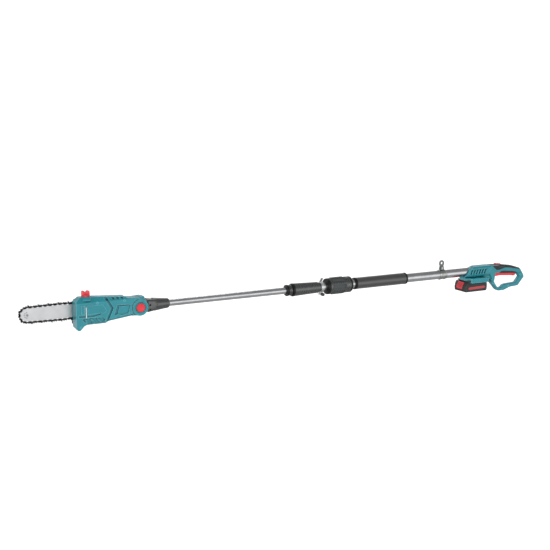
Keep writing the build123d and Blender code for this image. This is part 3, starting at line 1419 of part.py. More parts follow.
# ---------------------------------------------------------------- export
nodes = {
    "lower_tube": lower_tube, "foam_grip": foam_grip, "middle_tube": middle_tube,
    "upper_tube": upper_tube, "guide_sleeve": guide_sleeve, "clamp_band": clamp_band,
    "clamp_bolt": clamp_bolt, "clamp_knob": clamp_knob, "clamp_lever": clamp_lever,
    "collet": collet, "twist_collar": twist_collar, "strap_bracket": strap_bracket,
    "strap_bracket_bolt": strap_bracket_bolt,
    "rear_housing_near": rear_housing_near, "rear_housing_far": rear_housing_far,
    "rear_housing_screws": rear_housing_screws, "grip_overmould": grip_overmould,
    "trigger": trigger, "trigger_pin": trigger_pin, "trigger_spring": trigger_spring,
    "power_switch": power_switch, "lock_off_button": lock_off_button,
    "lock_off_spring": lock_off_spring, "control_board": control_board,
    "battery_terminals": battery_terminals, "coiled_lead": coiled_lead,
    "battery_case_lower": battery_case_lower, "battery_case_upper": battery_case_upper,
    "battery_cells": battery_cells, "battery_latch": battery_latch,
    "battery_latch_spring": battery_latch_spring,
    "neck_near": neck_near, "neck_far": neck_far, "neck_screws": neck_screws,
    "detent_ring": detent_ring, "motor_lead": motor_lead,
    "head_housing_near": head_housing_near, "head_housing_far": head_housing_far,
    "head_screws": head_screws, "pivot_bolt": pivot_bolt, "lock_button": lock_button,
    "lock_spring": lock_spring, "motor_case": motor_case, "motor_rotor": motor_rotor,
    "bevel_pinion": bevel_pinion, "bevel_gear": bevel_gear, "drive_shaft": drive_shaft,
    "shaft_bearings": shaft_bearings, "chain_sprocket": chain_sprocket,
    "oil_tank": oil_tank, "oil_window": oil_window, "oil_cap": oil_cap,
    "guide_bar": guide_bar, "nose_sprocket": nose_sprocket, "bar_studs": bar_studs,
    "tension_screw": tension_screw, "sprocket_cover": sprocket_cover,
    "chain_drive_links": chain_drive_links, "chain_tie_straps": chain_tie_straps,
    "chain_cutters": chain_cutters,
}
for name, piece in nodes.items():
    piece.part.label = name
    export_step(piece.part, f"parts/{name}.step")
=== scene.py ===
"""Looks of the telescoping pole saw: finishes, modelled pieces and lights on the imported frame."""

import json
import math

import bpy
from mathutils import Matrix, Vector


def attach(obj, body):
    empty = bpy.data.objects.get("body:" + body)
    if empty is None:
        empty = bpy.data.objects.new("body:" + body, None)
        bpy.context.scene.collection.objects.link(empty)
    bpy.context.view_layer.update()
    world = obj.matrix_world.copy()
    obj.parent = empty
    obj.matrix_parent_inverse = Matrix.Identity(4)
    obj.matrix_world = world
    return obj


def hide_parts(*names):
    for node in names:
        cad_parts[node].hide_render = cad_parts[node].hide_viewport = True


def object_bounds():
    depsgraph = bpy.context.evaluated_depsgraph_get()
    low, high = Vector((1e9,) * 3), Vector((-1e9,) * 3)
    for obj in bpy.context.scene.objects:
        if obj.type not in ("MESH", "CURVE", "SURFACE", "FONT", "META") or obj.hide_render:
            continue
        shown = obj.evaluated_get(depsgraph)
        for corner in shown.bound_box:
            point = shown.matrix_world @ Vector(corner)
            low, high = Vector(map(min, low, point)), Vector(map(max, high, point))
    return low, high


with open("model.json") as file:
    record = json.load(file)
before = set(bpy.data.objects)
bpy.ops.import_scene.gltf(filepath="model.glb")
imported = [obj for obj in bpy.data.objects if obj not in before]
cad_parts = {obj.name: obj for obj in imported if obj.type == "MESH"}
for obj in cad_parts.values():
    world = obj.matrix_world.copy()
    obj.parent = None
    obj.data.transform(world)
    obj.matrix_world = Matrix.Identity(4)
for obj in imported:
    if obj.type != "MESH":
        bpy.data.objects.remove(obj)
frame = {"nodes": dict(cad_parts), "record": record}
cad_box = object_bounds()
nodes = frame["nodes"]
body_of = {n: b for b, ns in frame["record"]["behaviour"]["bodies"].items() for n in ns}
MM = 0.001


# ---------------------------------------------------------------- finishes
def linear(hex_code):
    """The linear colour of an sRGB hex value, as the shader sockets take it."""
    parts = [int(hex_code[i:i + 2], 16) / 255 for i in (1, 3, 5)]
    bright = [c / 12.92 if c <= 0.04045 else ((c + 0.055) / 1.055) ** 2.4 for c in parts]
    return (*bright, 1.0)


def add_node(material, kind, sockets=None, **settings):
    """Adds a node: settings are its properties, sockets its inputs as values or other outputs."""
    made = material.node_tree.nodes.new(kind)
    for name, value in settings.items():
        setattr(made, name, value)
    for name, value in (sockets or {}).items():
        if isinstance(value, bpy.types.NodeSocket):
            material.node_tree.links.new(value, made.inputs[name])
        else:
            made.inputs[name].default_value = value
    return made


def new_material(name):
    material = bpy.data.materials.new(name)
    material.use_nodes = True
    material.node_tree.nodes.clear()
    return material


def close_material(material, **sockets):
    """Ends a material with the shader that carries its constants and links."""
    named = {key.replace("_", " ").title().replace("Ior", "IOR"): value for key,
        value in sockets.items()}
    shader = add_node(material, "ShaderNodeBsdfPrincipled", named)
    add_node(material, "ShaderNodeOutputMaterial", {"Surface": shader.outputs["BSDF"]})
    return material


def edge_mask(material, radius_mm, least, most):
    """How near a sharp edge is, from 0 on a flat to 1 on the edge itself."""
    rounded = add_node(material, "ShaderNodeBevel", {"Radius": radius_mm * MM}, samples=4)
    true = add_node(material, "ShaderNodeNewGeometry")
    facing = add_node(material, "ShaderNodeVectorMath", {0: rounded.outputs["Normal"],
        1: true.outputs["Normal"]}, operation="DOT_PRODUCT")
    return add_node(material, "ShaderNodeMapRange", {"Value": facing.outputs["Value"],
        "From Min": 0.99, "From Max": 0.8, "To Min": least, "To Max": most}).outputs["Result"]


def moulded(name, colour, highlight_colour, rough, grain_mm, depth_mm, ior=1.5, highlight_share=0.5, edge_mm=2.2):
    """Moulded plastic: clouding from the flow, a spark-eroded grain, paler edges that are a painted
    highlight, and recesses darkened with painted shade from an occlusion mask."""
    m = new_material(name)
    place = add_node(m, "ShaderNodeTexCoord").outputs["Object"]
    cloud = add_node(m, "ShaderNodeTexNoise", {"Vector": place, "Scale": 1 / (38 * MM),
        "Detail": 4.0, "Roughness": 0.55})
    grain = add_node(m, "ShaderNodeTexNoise", {"Vector": place, "Scale": 1 / (grain_mm * MM),
        "Detail": 2.0})
    tone = add_node(m, "ShaderNodeMapRange", {"Value": cloud.outputs["Fac"], "From Min": 0.3,
        "From Max": 0.7, "To Min": 0.92, "To Max": 1.08})
    # painted shade: an occlusion mask darkens the colour in recesses, grooves and creases, down to
    # 0.22 of it
    hollow = add_node(m, "ShaderNodeAmbientOcclusion", {"Distance": 7 * MM}, samples=6)
    painted_shade = add_node(m, "ShaderNodeMapRange", {"Value": hollow.outputs["AO"], "From Min": 0.35,
        "From Max": 0.95, "To Min": 0.22, "To Max": 1.0})
    depth = add_node(m, "ShaderNodeMath", {0: tone.outputs["Result"], 1: painted_shade.outputs["Result"]},
        operation="MULTIPLY")
    clouded = add_node(m, "ShaderNodeHueSaturation", {"Value": depth.outputs["Value"],
        "Color": linear(colour)})
    # painted highlight: sharp edges clear of recesses are mixed towards a paler colour, standing in
    # for light caught on the bevels
    proud = add_node(m, "ShaderNodeMapRange", {"Value": hollow.outputs["AO"], "From Min": 0.78,
        "From Max": 0.97})
    painted_highlight = add_node(m, "ShaderNodeMath", {0: edge_mask(m, edge_mm, 0.0, highlight_share),
        1: proud.outputs["Result"]}, operation="MULTIPLY")
    highlighted = add_node(m, "ShaderNodeMix", {0: painted_highlight.outputs["Value"], 6: clouded.outputs[0],
        7: linear(highlight_colour)}, data_type="RGBA")
    matt = add_node(m, "ShaderNodeMapRange", {"Value": grain.outputs["Fac"], "From Min": 0.3,
        "From Max": 0.7, "To Min": rough - 0.06, "To Max": rough + 0.06})
    bump = add_node(m, "ShaderNodeBump", {"Strength": 0.5, "Distance": depth_mm * MM,
        "Height": grain.outputs["Fac"]})
    return close_material(m, base_color=highlighted.outputs[2], roughness=matt.outputs["Result"],
        normal=bump.outputs["Normal"], ior=ior)


def metal(name, colour, dull, rough, stretch, line_mm, depth_mm, spread=0.08):
    """Bare or plated metal: lines left by drawing or grinding, and a slow change of tone."""
    m = new_material(name)
    place = add_node(m, "ShaderNodeTexCoord").outputs["Object"]
    along = add_node(m, "ShaderNodeMapping", {"Vector": place, "Scale": stretch})
    lines = add_node(m, "ShaderNodeTexNoise", {"Vector": along.outputs[0],
        "Scale": 1 / (line_mm * MM), "Detail": 3.0})
    cloud = add_node(m, "ShaderNodeTexNoise", {"Vector": place, "Scale": 1 / (26 * MM),
        "Detail": 5.0, "Roughness": 0.6})
    tone = add_node(m, "ShaderNodeMapRange", {"Value": cloud.outputs["Fac"], "From Min": 0.35,
        "From Max": 0.7})
    mixed = add_node(m, "ShaderNodeMix", {0: tone.outputs["Result"], 6: linear(colour),
        7: linear(dull)}, data_type="RGBA")
    gloss = add_node(m, "ShaderNodeMapRange", {"Value": lines.outputs["Fac"], "From Min": 0.3,
        "From Max": 0.7, "To Min": rough - spread, "To Max": rough + spread})
    bump = add_node(m, "ShaderNodeBump", {"Strength": 0.4, "Distance": depth_mm * MM,
        "Height": lines.outputs["Fac"]})
    return close_material(m, base_color=mixed.outputs[2], roughness=gloss.outputs["Result"],
        normal=bump.outputs["Normal"], metallic=1.0)


def cellular(name, colour, pore, rough, cell_mm, depth_mm, sheen, ior):
    """Foam or soft rubber: closed cells that show as small pits, and a dusty sheen."""
    m = new_material(name)
    place = add_node(m, "ShaderNodeTexCoord").outputs["Object"]
    cells = add_node(m, "ShaderNodeTexVoronoi", {"Vector": place, "Scale": 1 / (cell_mm * MM)})
    cloud = add_node(m, "ShaderNodeTexNoise", {"Vector": place, "Scale": 1 / (30 * MM),
        "Detail": 5.0})
    depth = add_node(m, "ShaderNodeMapRange", {"Value": cells.outputs["Distance"], "From Min": 0.0,
        "From Max": 0.55})
    mixed = add_node(m, "ShaderNodeMix", {0: depth.outputs["Result"], 6: linear(pore),
        7: linear(colour)}, data_type="RGBA")
    tone = add_node(m, "ShaderNodeMapRange", {"Value": cloud.outputs["Fac"], "From Min": 0.3,
        "From Max": 0.7, "To Min": 0.85, "To Max": 1.12})
    clouded = add_node(m, "ShaderNodeHueSaturation", {"Value": tone.outputs["Result"],
        "Color": mixed.outputs[2]})
    bump = add_node(m, "ShaderNodeBump", {"Strength": 0.6, "Distance": depth_mm * MM,
        "Height": depth.outputs["Result"]})
    return close_material(m, base_color=clouded.outputs[0], roughness=rough,
        normal=bump.outputs["Normal"], sheen_weight=sheen, ior=ior)


finish = {
    # tough ABS, moulded in colour: even teal with a soft grained sheen and a painted highlight on
    # its corners
    "teal_plastic": moulded("Moulded_ABS_teal", "#1f7b86", "#86cdd4", 0.34, 0.9, 0.03, ior=1.48,
                            highlight_share=0.65, edge_mm=3.0),
    # glass-filled nylon, moulded: charcoal, dry and slightly mottled
    "black_plastic": moulded("Moulded_nylon_black", "#2c2d2f", "#5c5e60", 0.46, 1.0, 0.06),
    "dark_grey_plastic": moulded("Moulded_nylon_dark_grey", "#2c2e2f", "#6a6d6e", 0.27, 1.0, 0.02,
                                 ior=1.95),
    # polished ABS in signal red: glossier than the housings
    "red_plastic": moulded("Moulded_ABS_red", "#cf2c38", "#e0605f", 0.36, 1.2, 0.004, highlight_share=0.2),
    # the battery's side strips: the same red, duller under a grained lacquer
    "strip_plastic": moulded("Lacquered_ABS_strip", "#a63d40", "#c06a66", 0.4, 0.9, 0.02, highlight_share=0.2),
    # closed-cell EVA foam: charcoal, quite matt, with pin-head cells
    "black_foam": cellular("EVA_foam", "#2b2c2d", "#191a1b", 0.34, 1.6, 0.03, 0.1, 1.95),
    # soft thermoplastic rubber of the collar's pads: a little darker and drier than the ring
    "collar_rubber": moulded("Moulded_rubber_pads", "#3c4041", "#5f6466", 0.6, 0.9, 0.08),
    # soft thermoplastic rubber over the handle: near black and matt
    "grip_rubber": moulded("Overmoulded_rubber_black", "#1d1e20", "#3b3d40", 0.55, 0.9, 0.08),
    # nitrile rubber of the sleeve's seals and the collar's ends: dead black
    "seal_rubber": moulded("Moulded_nitrile_black", "#08080a", "#1c1d1f", 0.5, 0.9, 0.05, ior=1.4,
                           highlight_share=0.1),
    # glass-filled nylon of the battery case: black, with a low satin gloss
    "battery_plastic": moulded("Moulded_nylon_battery", "#1c1d1f", "#4a4c4f", 0.42, 1.0, 0.05),
    # drawn and satin-anodised aluminium tube: fine lines along the pole
    "aluminium_tube": metal("Anodised_aluminium", "#d2d3d5", "#c4c6c9", 0.24, (0.02, 1, 1), 0.9,
                            0.002, spread=0.03),
    # zinc-plated steel: cool bright grey with a blotched passivation
    "zinc_plated_steel": metal("Zinc_plated_steel", "#bfc1bd", "#9a9d9c", 0.34, (1, 1, 1), 2.5,
                               0.02),
    # the cam lever and its band: pressed strip under a bright plating
    "clamp_lever_metal": metal("Pressed_steel_bright", "#ececed", "#d9dadb", 0.42, (1, 1, 0.15),
                               1.2, 0.006),
    # the chain's rivets: steel peened over, dark between its bright rims
    "rivet_steel": metal("Peened_rivets", "#595b5e", "#3a3b3d", 0.34, (1, 1, 1), 1.2, 0.01),
    # strap bracket: bent strip with a dull dark zinc, darker in its folds
    "bracket_steel": metal("Passivated_strip_steel", "#7b7e80", "#565a5d", 0.36, (1, 1, 1), 2.0,
                           0.015),
    "spring_steel": metal("Drawn_spring_wire", "#8f9194", "#6f7174", 0.3, (1, 0.2, 1), 0.8, 0.01),
    "bar_steel": metal("Ground_bar_steel", "#c6c7c8", "#bdbebf", 0.36, (0.06, 1, 1), 1.0, 0.004),
    "blackened_steel": metal("Black_oxide_steel", "#1d1e20", "#0f1011", 0.36, (1, 1, 1), 1.8, 0.02),
    "machined_steel": metal("Machined_steel", "#97999c", "#7c7e82", 0.28, (1, 0.2, 1), 0.8, 0.01),
    "black_cable": cellular("PVC_cable_sheath", "#1f2021", "#161718", 0.5, 2.0, 0.03, 0.0, 1.5),
    "circuit_board": moulded("Lacquered_laminate", "#1c5a34", "#6fa07c", 0.25, 2.0, 0.01),
    "cell_wrap": moulded("Shrink_wrap", "#2f5f8c", "#7c9cba", 0.22, 6.0, 0.05),
    "milky_plastic": moulded("Milky_polyethylene", "#dfe2dc", "#f2f4ef", 0.4, 2.0, 0.02),
    "clear_window": moulded("Polycarbonate_window", "#a9c3c7", "#d5e3e5", 0.12, 4.0, 0.01),
}
slot_of = {part["node"]: part["material_slot"] for part in frame["record"]["subparts"]}
for name, piece in nodes.items():
    piece.data.materials.clear()
    piece.data.materials.append(finish[slot_of[name]])


# ---------------------------------------------------------------- ways of working
def alone(piece):
    """Leaves only this piece selected and active."""
    bpy.ops.object.select_all(action="DESELECT")
    piece.select_set(True)
    bpy.context.view_layer.objects.active = piece


def open_mesh(piece, select="DESELECT"):
    """Goes into edit mode with all of the mesh selected, or none of it."""
    alone(piece)
    bpy.ops.object.mode_set(mode="EDIT")
    bpy.ops.mesh.select_all(action=select)


def close_mesh():
    bpy.ops.object.mode_set(mode="OBJECT")


def place_on(axis, a, b, at):
    """The point (a, b) of a drawing at station at along the axis, in metres."""
    return Vector({"X": (at, a, b), "Y": (a, at, b), "Z": (a, b, at)}[axis]) * MM


def traced(name, corners):
    """A wire: one vertex drawn from corner to corner, given in metres, and left selected."""
    bpy.ops.object.select_all(action="DESELECT")
    bpy.ops.mesh.primitive_plane_add(size=MM, location=(0, 0, 0))
    piece = bpy.context.object
    piece.name = name
    open_mesh(piece, "SELECT")
    bpy.ops.mesh.select_mode(type="VERT")
    bpy.ops.mesh.select_all(action="SELECT")
    bpy.ops.mesh.merge(type="CENTER")
    bpy.ops.mesh.select_all(action="SELECT")
    bpy.ops.transform.translate(value=corners[0])
    for here, there in zip(corners, corners[1:]):
        bpy.ops.mesh.extrude_vertices_move(TRANSFORM_OT_translate={"value": there - here})
    bpy.ops.mesh.select_all(action="SELECT")
    return piece


def prism(name, outline, axis, low, high):
    """A closed block: an outline filled at low and extruded to high along the axis."""
    piece = traced(name, [place_on(axis, a, b, low) for a, b in outline])
    bpy.ops.mesh.edge_face_add()
    close_mesh()
    open_mesh(piece, "SELECT")
    bpy.ops.mesh.extrude_region_move(TRANSFORM_OT_translate={"value": place_on(axis, 0, 0,
        high - low)})
    bpy.ops.mesh.select_all(action="SELECT")
    bpy.ops.mesh.normals_make_consistent(inside=False)
    close_mesh()
    return piece


def turned(name, profile, steps=64, axis="X", centre=(0, 0, 0)):
    """A piece spun round an axis from (station, radius) points drawn beside it."""
    along = {"X": (1, 0, 0), "Y": (0, 1, 0), "Z": (0, 0, 1)}[axis]
    out = {"X": (0, 0, 1), "Y": (0, 0, 1), "Z": (1, 0, 0)}[axis]
    corners = [(Vector(along) * s + Vector(out) * r + Vector(centre)) * MM for s, r in profile]
    piece = traced(name, corners + corners[:1])
    bpy.ops.mesh.spin(steps=steps, angle=2 * math.pi, center=Vector(centre) * MM, axis=along)
    bpy.ops.mesh.select_all(action="SELECT")
    bpy.ops.mesh.remove_doubles(threshold=0.01 * MM)
    bpy.ops.mesh.normals_make_consistent(inside=False)
    close_mesh()
    return piece


def twin_of(piece, name=None):
    """A linked-in copy of a piece with its own mesh."""
    twin = piece.copy()
    twin.data = piece.data.copy()
    if name:
        twin.name = name
    bpy.context.collection.objects.link(twin)
    return twin


def modify(piece, kind, **settings):
    """Adds a modifier with its settings and applies it."""
    alone(piece)
    modifier = piece.modifiers.new(kind.title(), kind)
    for name, value in settings.items():
        setattr(modifier, name, value)
    bpy.ops.object.modifier_apply(modifier=modifier.name)
    return piece


def rounded(piece, edge_mm, segments=2, angle=35, clamp=True):
    """Rounds every edge sharper than the angle."""
    return modify(piece, "BEVEL", width=edge_mm * MM, segments=segments, limit_method="ANGLE",
        angle_limit=math.radians(angle), use_clamp_overlap=clamp)


def rounded_where(piece, test, edge_mm, segments=3, clamp=False):
    """Rounds the edges whose two ends and middle pass the test, given in millimetres."""
    open_mesh(piece)
    bpy.ops.mesh.select_mode(type="EDGE")
    close_mesh()
    points = [tuple(c / MM for c in v.co) for v in piece.data.vertices]
    for edge in piece.data.edges:
        here, there = (points[v] for v in edge.vertices)
        middle = tuple((a + b) / 2 for a, b in zip(here, there))
        edge.select = test(*here) and test(*there) and test(*middle)
    bpy.ops.object.mode_set(mode="EDIT")
    bpy.ops.mesh.bevel(offset=edge_mm * MM, segments=segments, affect="EDGES", clamp_overlap=clamp)
    close_mesh()
    return piece


def combined(piece, tool, operation="DIFFERENCE"):
    """Cuts, joins or trims a piece with a tool, which is used up."""
    modify(piece, "BOOLEAN", object=tool, operation=operation, solver="EXACT")
    bpy.data.objects.remove(tool)
    open_mesh(piece, "SELECT")
    bpy.ops.mesh.remove_doubles(threshold=0.02 * MM)
    close_mesh()
    return piece


def cut(piece, outline, axis, low, high):
    """Cuts a block out of a piece."""
    return combined(piece, prism("tool", outline, axis, low, high))


def kept(piece, outline, axis, low, high):
    """Trims a piece to what lies inside a block."""
    return combined(piece, prism("tool", outline, axis, low, high), "INTERSECT")


def bored(piece, low, high, radius, steps, axis, centre=(0, 0, 0)):
    """Cuts a round hole from low to high along the axis."""
    profile = [(low, 0), (low, radius), (high, radius), (high, 0)]
    return combined(piece, turned("tool", profile, steps, axis, centre))


def settled(piece, finish_name, body, *replaced, smooth=35, even=True):
    """Fixes a piece's place in its mesh, smooths it, dresses it and rides it on its body."""
    alone(piece)
    bpy.ops.object.transform_apply(location=True, rotation=True, scale=True)
    bpy.ops.object.shade_smooth_by_angle(angle=math.radians(smooth))
    if even:
        modify(piece, "WEIGHTED_NORMAL", keep_sharp=True, weight=50)
    piece.data.materials.clear()
    piece.data.materials.append(finish[finish_name])
    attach(piece, body)
    if replaced:
        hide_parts(*replaced)
    return piece


def moulded_copy(node, edge_mm, segments=2, angle=38, finish_name=None, smooth=38, cuts=()):
    """A moulded copy of a CAD solid, cut where tools are given, its sharp edges rounded."""
    piece = twin_of(nodes[node], node + "_moulded")
    open_mesh(piece, "SELECT")
    bpy.ops.mesh.remove_doubles(threshold=0.002 * MM)
    bpy.ops.mesh.dissolve_limited(angle_limit=math.radians(1.0))
    close_mesh()
    for tool in cuts:
        combined(piece, tool)
    modify(piece, "BEVEL", width=edge_mm * MM, segments=segments, limit_method="ANGLE",
        angle_limit=math.radians(angle), use_clamp_overlap=False, miter_outer="MITER_ARC")
    return settled(piece, finish_name or slot_of[node], body_of[node], node, smooth=smooth)


def ring_copies(piece, name, count, axis, centre, first=0.0, sweep=360.0):
    """Copies of a piece spaced round an axis, each with its own mesh; the first is the piece."""
    made = [piece]
    for step in range(1, count):
        twin = twin_of(piece, f"{name}_{step:02d}")
        alone(twin)
        bpy.ops.transform.rotate(value=math.radians(-sweep * step / count), orient_axis=axis,
            center_override=Vector(centre) * MM)
        made.append(twin)
    return made


# ---------------------------------------------------------------- stations, in millimetres
PIVOT_X = -1172.0
HEAD_NEAR_FACE = -32.0
CAP_X, CAP_Y = -1355.0, -10.0
HEAD_SCREWS = ((-208, -47), (-122, -35), (-56, 29), (-38.5, -15.5), (-150, 30), (-165, -34))
HANDLE_X = 340.0
NOSE_X, BELLY_X, SPROCKET_X, BAR_Z = -1543.0, -1420.5, -1298.0, 3.0
RAIL = [(NOSE_X, 21.0), (BELLY_X, 23.0), (SPROCKET_X, 13.994)]
CHAIN_PITCH = 8.255
REAR_SCREWS = ((-92, -23), (-24, -30), (10, -54), (88, -73.5), (151, -32))


# ---------------------------------------------------------------- saw head
def from_pivot(*pairs):
    """Outline points of the head, given in millimetres from the pivot bolt."""
    return [(PIVOT_X + a, b) for a, b in pairs]


HEAD_SIDE = from_pivot((-205, 50), (-222, 36), (-222, -50), (-215, -59), (-207, -57.5), (-195, -44),
    (-188, -41.5), (-122, -41.5), (-114, -36), (-24, -25), (0, -28.3), (20, -20), (28.3, 0),
    (20, 20), (15, 30), (15, 37), (1, 37), (-2, 34.5), (-20, 34.5), (-44, 36), (-50, 41.5),
    (-117, 46.5), (-176, 50))
head_near = prism("head_shell_near", HEAD_SIDE, "Y", 0.0, HEAD_NEAR_FACE)
kept(head_near, [(1, -70), (-34, -70), (-34, 31), (1, 66)], "X", PIVOT_X - 240, PIVOT_X + 60)
# the rear top drops beside the boss, and the underside and the front are drawn in
rounded_where(head_near, lambda x, y, z: y < HEAD_NEAR_FACE + 0.01 and z < 32
    and not x > PIVOT_X - 22, 4.0, 3)
rounded(head_near, 1.4, 2, 30)
boss = turned("boss", [(0, 0), (0, 28.5), (-30, 28.5), (-33.2, 26.3), (-33.2, 19.0), (-32.2, 18.2),
    (-34, 17.2), (-34, 0)], 72, "Y", (PIVOT_X, 0, 0))
combined(head_near, boss, "UNION")
# knuckle space
bored(head_near, 1, -17, 27.5, 72, "Y", (PIVOT_X, 0, 0))
cut(head_near, from_pivot((-14, -31), (-10, 31), (40, 31), (40, -31)), "Y", 1.2, -16.8)
# chevron groove across the side and the sloping shoulder
cut(head_near, from_pivot((-127, 52), (-119.5, 34), (-104.5, 8), (-120, -27), (-127, -44),
    (-117, -44), (-110, -27), (-94.5, 8), (-109.5, 34), (-117, 52)), "Y", HEAD_NEAR_FACE + 6.0,
    HEAD_NEAR_FACE - 1)
cut(head_near, from_pivot((-127, 52), (-119.5, 34), (-109.5, 34), (-117, 52)), "Y", -16,
    HEAD_NEAR_FACE - 1)
# moat round the boss
combined(head_near, turned("moat", [(-29.5, 28.6), (-29.5, 31.6), (-35, 31.6), (-35, 28.6)], 72,
    "Y", (PIVOT_X, 0, 0)))
for depth, outline in (
    # slanted grip recess behind it
    (2.2, [(-77, 13.5), (-35, 12.8), (-45, -14.5), (-66, -18.5), (-88, -14)]),
    (5.2, [(-82.5, 17.2), (-40, 15.4), (-40, 11.4), (-74, 11.6), (-81.5, -14), (-93.5, -17.4)]),
    # long groove under the side panel, kept clear of the oil tank
    (3.1, [(-214, -7.2), (-170, -8.2), (-141, -5.0), (-137, -9.6), (-162, -14.8), (-214, -13.6)]),
    # stepped recess below it
    (3.8, [(-203, -19), (-150, -18.4), (-131, -19), (-124, -28), (-131, -35.5), (-186, -35.5),
           (-198, -27)]),
    # slot for the oil window
    (3.2, [(-192, 21), (-185.5, 21), (-185.5, -19.5), (-192, -19.5)]),
):
    cut(head_near, from_pivot(*outline), "Y", HEAD_NEAR_FACE + depth, HEAD_NEAR_FACE - 1)
# cooling slots in the sloping shoulder
for x in (-97, -82, -67):
    cut(head_near, from_pivot((x, 36.5), (x + 9, 36.2), (x + 6.5, 44), (x - 2.5, 44.4)), "Y", -19,
        HEAD_NEAR_FACE - 1)
# hollow for the drive
cut(head_near, from_pivot((-218, 31), (-218, -50), (-208, -54), (-188, -36), (-124, -36),
    (-114, -31), (-34, -20), (-34, 28), (-52, 34), (-117, 40), (-176, 45), (-202, 45)), "Y", 1, -12)
for x, z in HEAD_SCREWS:
    bored(head_near, -26.0, -40, 3.6, 24, "Y", (PIVOT_X + x, 0, z))
# its underside is drawn in along two flats
cut(head_near, [(-33, -32), (-22.5, -42.5), (-33, -42.5)], "X", PIVOT_X - 186.7, PIVOT_X - 121)
flat = prism("tool", [(-33, -27), (-22.5, -37.5), (-33, -37.5)], "X", PIVOT_X - 113, PIVOT_X - 29)
open_mesh(flat)
bpy.ops.mesh.select_mode(type="VERT")
close_mesh()
for corner in flat.data.vertices:
    corner.select = corner.co.x > (PIVOT_X - 70) * MM
bpy.ops.object.mode_set(mode="EDIT")
bpy.ops.transform.translate(value=(0, 0, 10.3 * MM))
close_mesh()
combined(head_near, flat)
# button well and bolt hole
combined(head_near, turned("tool", [(-10, 0), (-10, 6.2), (-26, 6.2), (-26, 16.2), (-40, 16.2),
    (-40, 0)], 64, "Y", (PIVOT_X, 0, 0)))
settled(head_near, "teal_plastic", "head", "head_housing_near", smooth=30)
# plugs over the screws
for step, (x, z) in enumerate(HEAD_SCREWS):
    plug = turned(f"head_screw_plug_{step}", [(-27, 0), (-27, 3.56), (-31.6, 3.56), (-31.9, 3.2),
        (-31.9, 0)], 24, "Y", (PIVOT_X + x, 0, z))
    settled(plug, "teal_plastic", "head", *(("head_screws",) if step == 0 else ()))
moulded_copy("head_housing_far", 1.2, smooth=32, cuts=[prism("t", from_pivot((-227, 31.9),
    (-194, 59.1), (-227, 59.1)), "Y", -20, 45)])
corner = prism("head_corner_wall", from_pivot((-221.9, 35.9), (-205.1, 49.9), (-196, 49.9),
    (-196, 44), (-217, 29)), "Y", 0.2, 12.9)
settled(rounded(corner, 0.6, 2, 30), "teal_plastic", "head", smooth=32)
moulded_copy("sprocket_cover", 1.4, segments=3, smooth=32)

# ribs in the stepped recess and the raised side panel, left bare
for step, (x, length) in enumerate(((-196, 15), (-176, 17), (-155, 19))):
    rib = prism(f"head_rib_{step}", from_pivot((x, -21), (x + 6, -20.5), (x + length, -34.5),
        (x + length - 7, -34.8)), "Y", HEAD_NEAR_FACE + 4.5, HEAD_NEAR_FACE + 0.1)
    settled(rounded(rib, 0.8, 2), "teal_plastic", "head")
panel = prism("head_side_panel", from_pivot((-206, 25.5), (-131, 23.5), (-118.5, 3), (-124, -5.5),
    (-206, -5.5)), "Y", HEAD_NEAR_FACE + 1, HEAD_NEAR_FACE - 0.8)
rounded_where(panel, lambda x, y, z: y < HEAD_NEAR_FACE - 0.7, 0.7, 2)
cut(panel, from_pivot((-193.5, 30), (-184, 30), (-184, -9), (-193.5, -9)), "Y", HEAD_NEAR_FACE + 2,
    HEAD_NEAR_FACE - 2)
settled(panel, "teal_plastic", "head")

# sight glass of the oil tank in its dark frame
frame_bar = prism("oil_window_frame", from_pivot((-191.7, 20.7), (-185.8, 20.7), (-185.8, -19.2),
    (-191.7, -19.2)), "Y", HEAD_NEAR_FACE + 3.2, HEAD_NEAR_FACE + 0.9)
settled(rounded(frame_bar, 0.4), "black_plastic", "head")
glass = prism("oil_window_glass", from_pivot((-190.4, 19.4), (-186.6, 19.4), (-186.6, -18),
    (-190.4, -18)), "Y", HEAD_NEAR_FACE + 2, HEAD_NEAR_FACE + 0.1)
settled(rounded(glass, 0.5, 3), "clear_window", "head", "oil_window")

# filler neck under the cap
neck_ring = turned("filler_cone", [(40, 0), (40, 20.5), (47, 17.8), (50.8, 14.2), (52, 13.4),
    (52, 9.2), (40, 9.2)], 64, "Z", (CAP_X, CAP_Y, 0))
settled(neck_ring, "teal_plastic", "head")

# oil cap: a knurled skirt under a wide thumb grip with a notch
skirt = turned("oil_cap_body", [(44, 0), (44, 8.8), (52.3, 8.8), (52.3, 12.8), (53.3, 13.6),
    (57.5, 13.6), (59, 12.6), (59, 0)], 64, "Z", (CAP_X, CAP_Y, 0))
grip = prism("tool", [(CAP_X - 13.2, 58), (CAP_X + 13.2, 58), (CAP_X + 12, 70.5),
    (CAP_X + 9.5, 71.3), (CAP_X + 5.5, 71.3), (CAP_X + 0.6, 65.2), (CAP_X - 0.6, 65.2),
    (CAP_X - 5.5, 71.3), (CAP_X - 9.5, 71.3), (CAP_X - 12, 70.5)], "Y", CAP_Y - 8.2, CAP_Y + 8.2)
rounded(grip, 1.6, 3)
combined(skirt, grip, "UNION")
settled(skirt, "red_plastic", "oil_cap", "oil_cap", smooth=32)
for step in range(24):
    turn = 2 * math.pi * step / 24
    rib = prism(f"oil_cap_rib_{step:02d}", [(-0.7, 53.6), (0.7, 53.6), (0.7, 57.2), (-0.7, 57.2)],
        "Y", 13.2, 14.1)
    rounded(rib, 0.25, 1)
    alone(rib)
    bpy.ops.transform.rotate(value=turn, orient_axis="Z", center_override=(0, 0, 0))
    bpy.ops.transform.translate(value=(CAP_X * MM, CAP_Y * MM, 0))
    settled(rib, "red_plastic", "oil_cap")

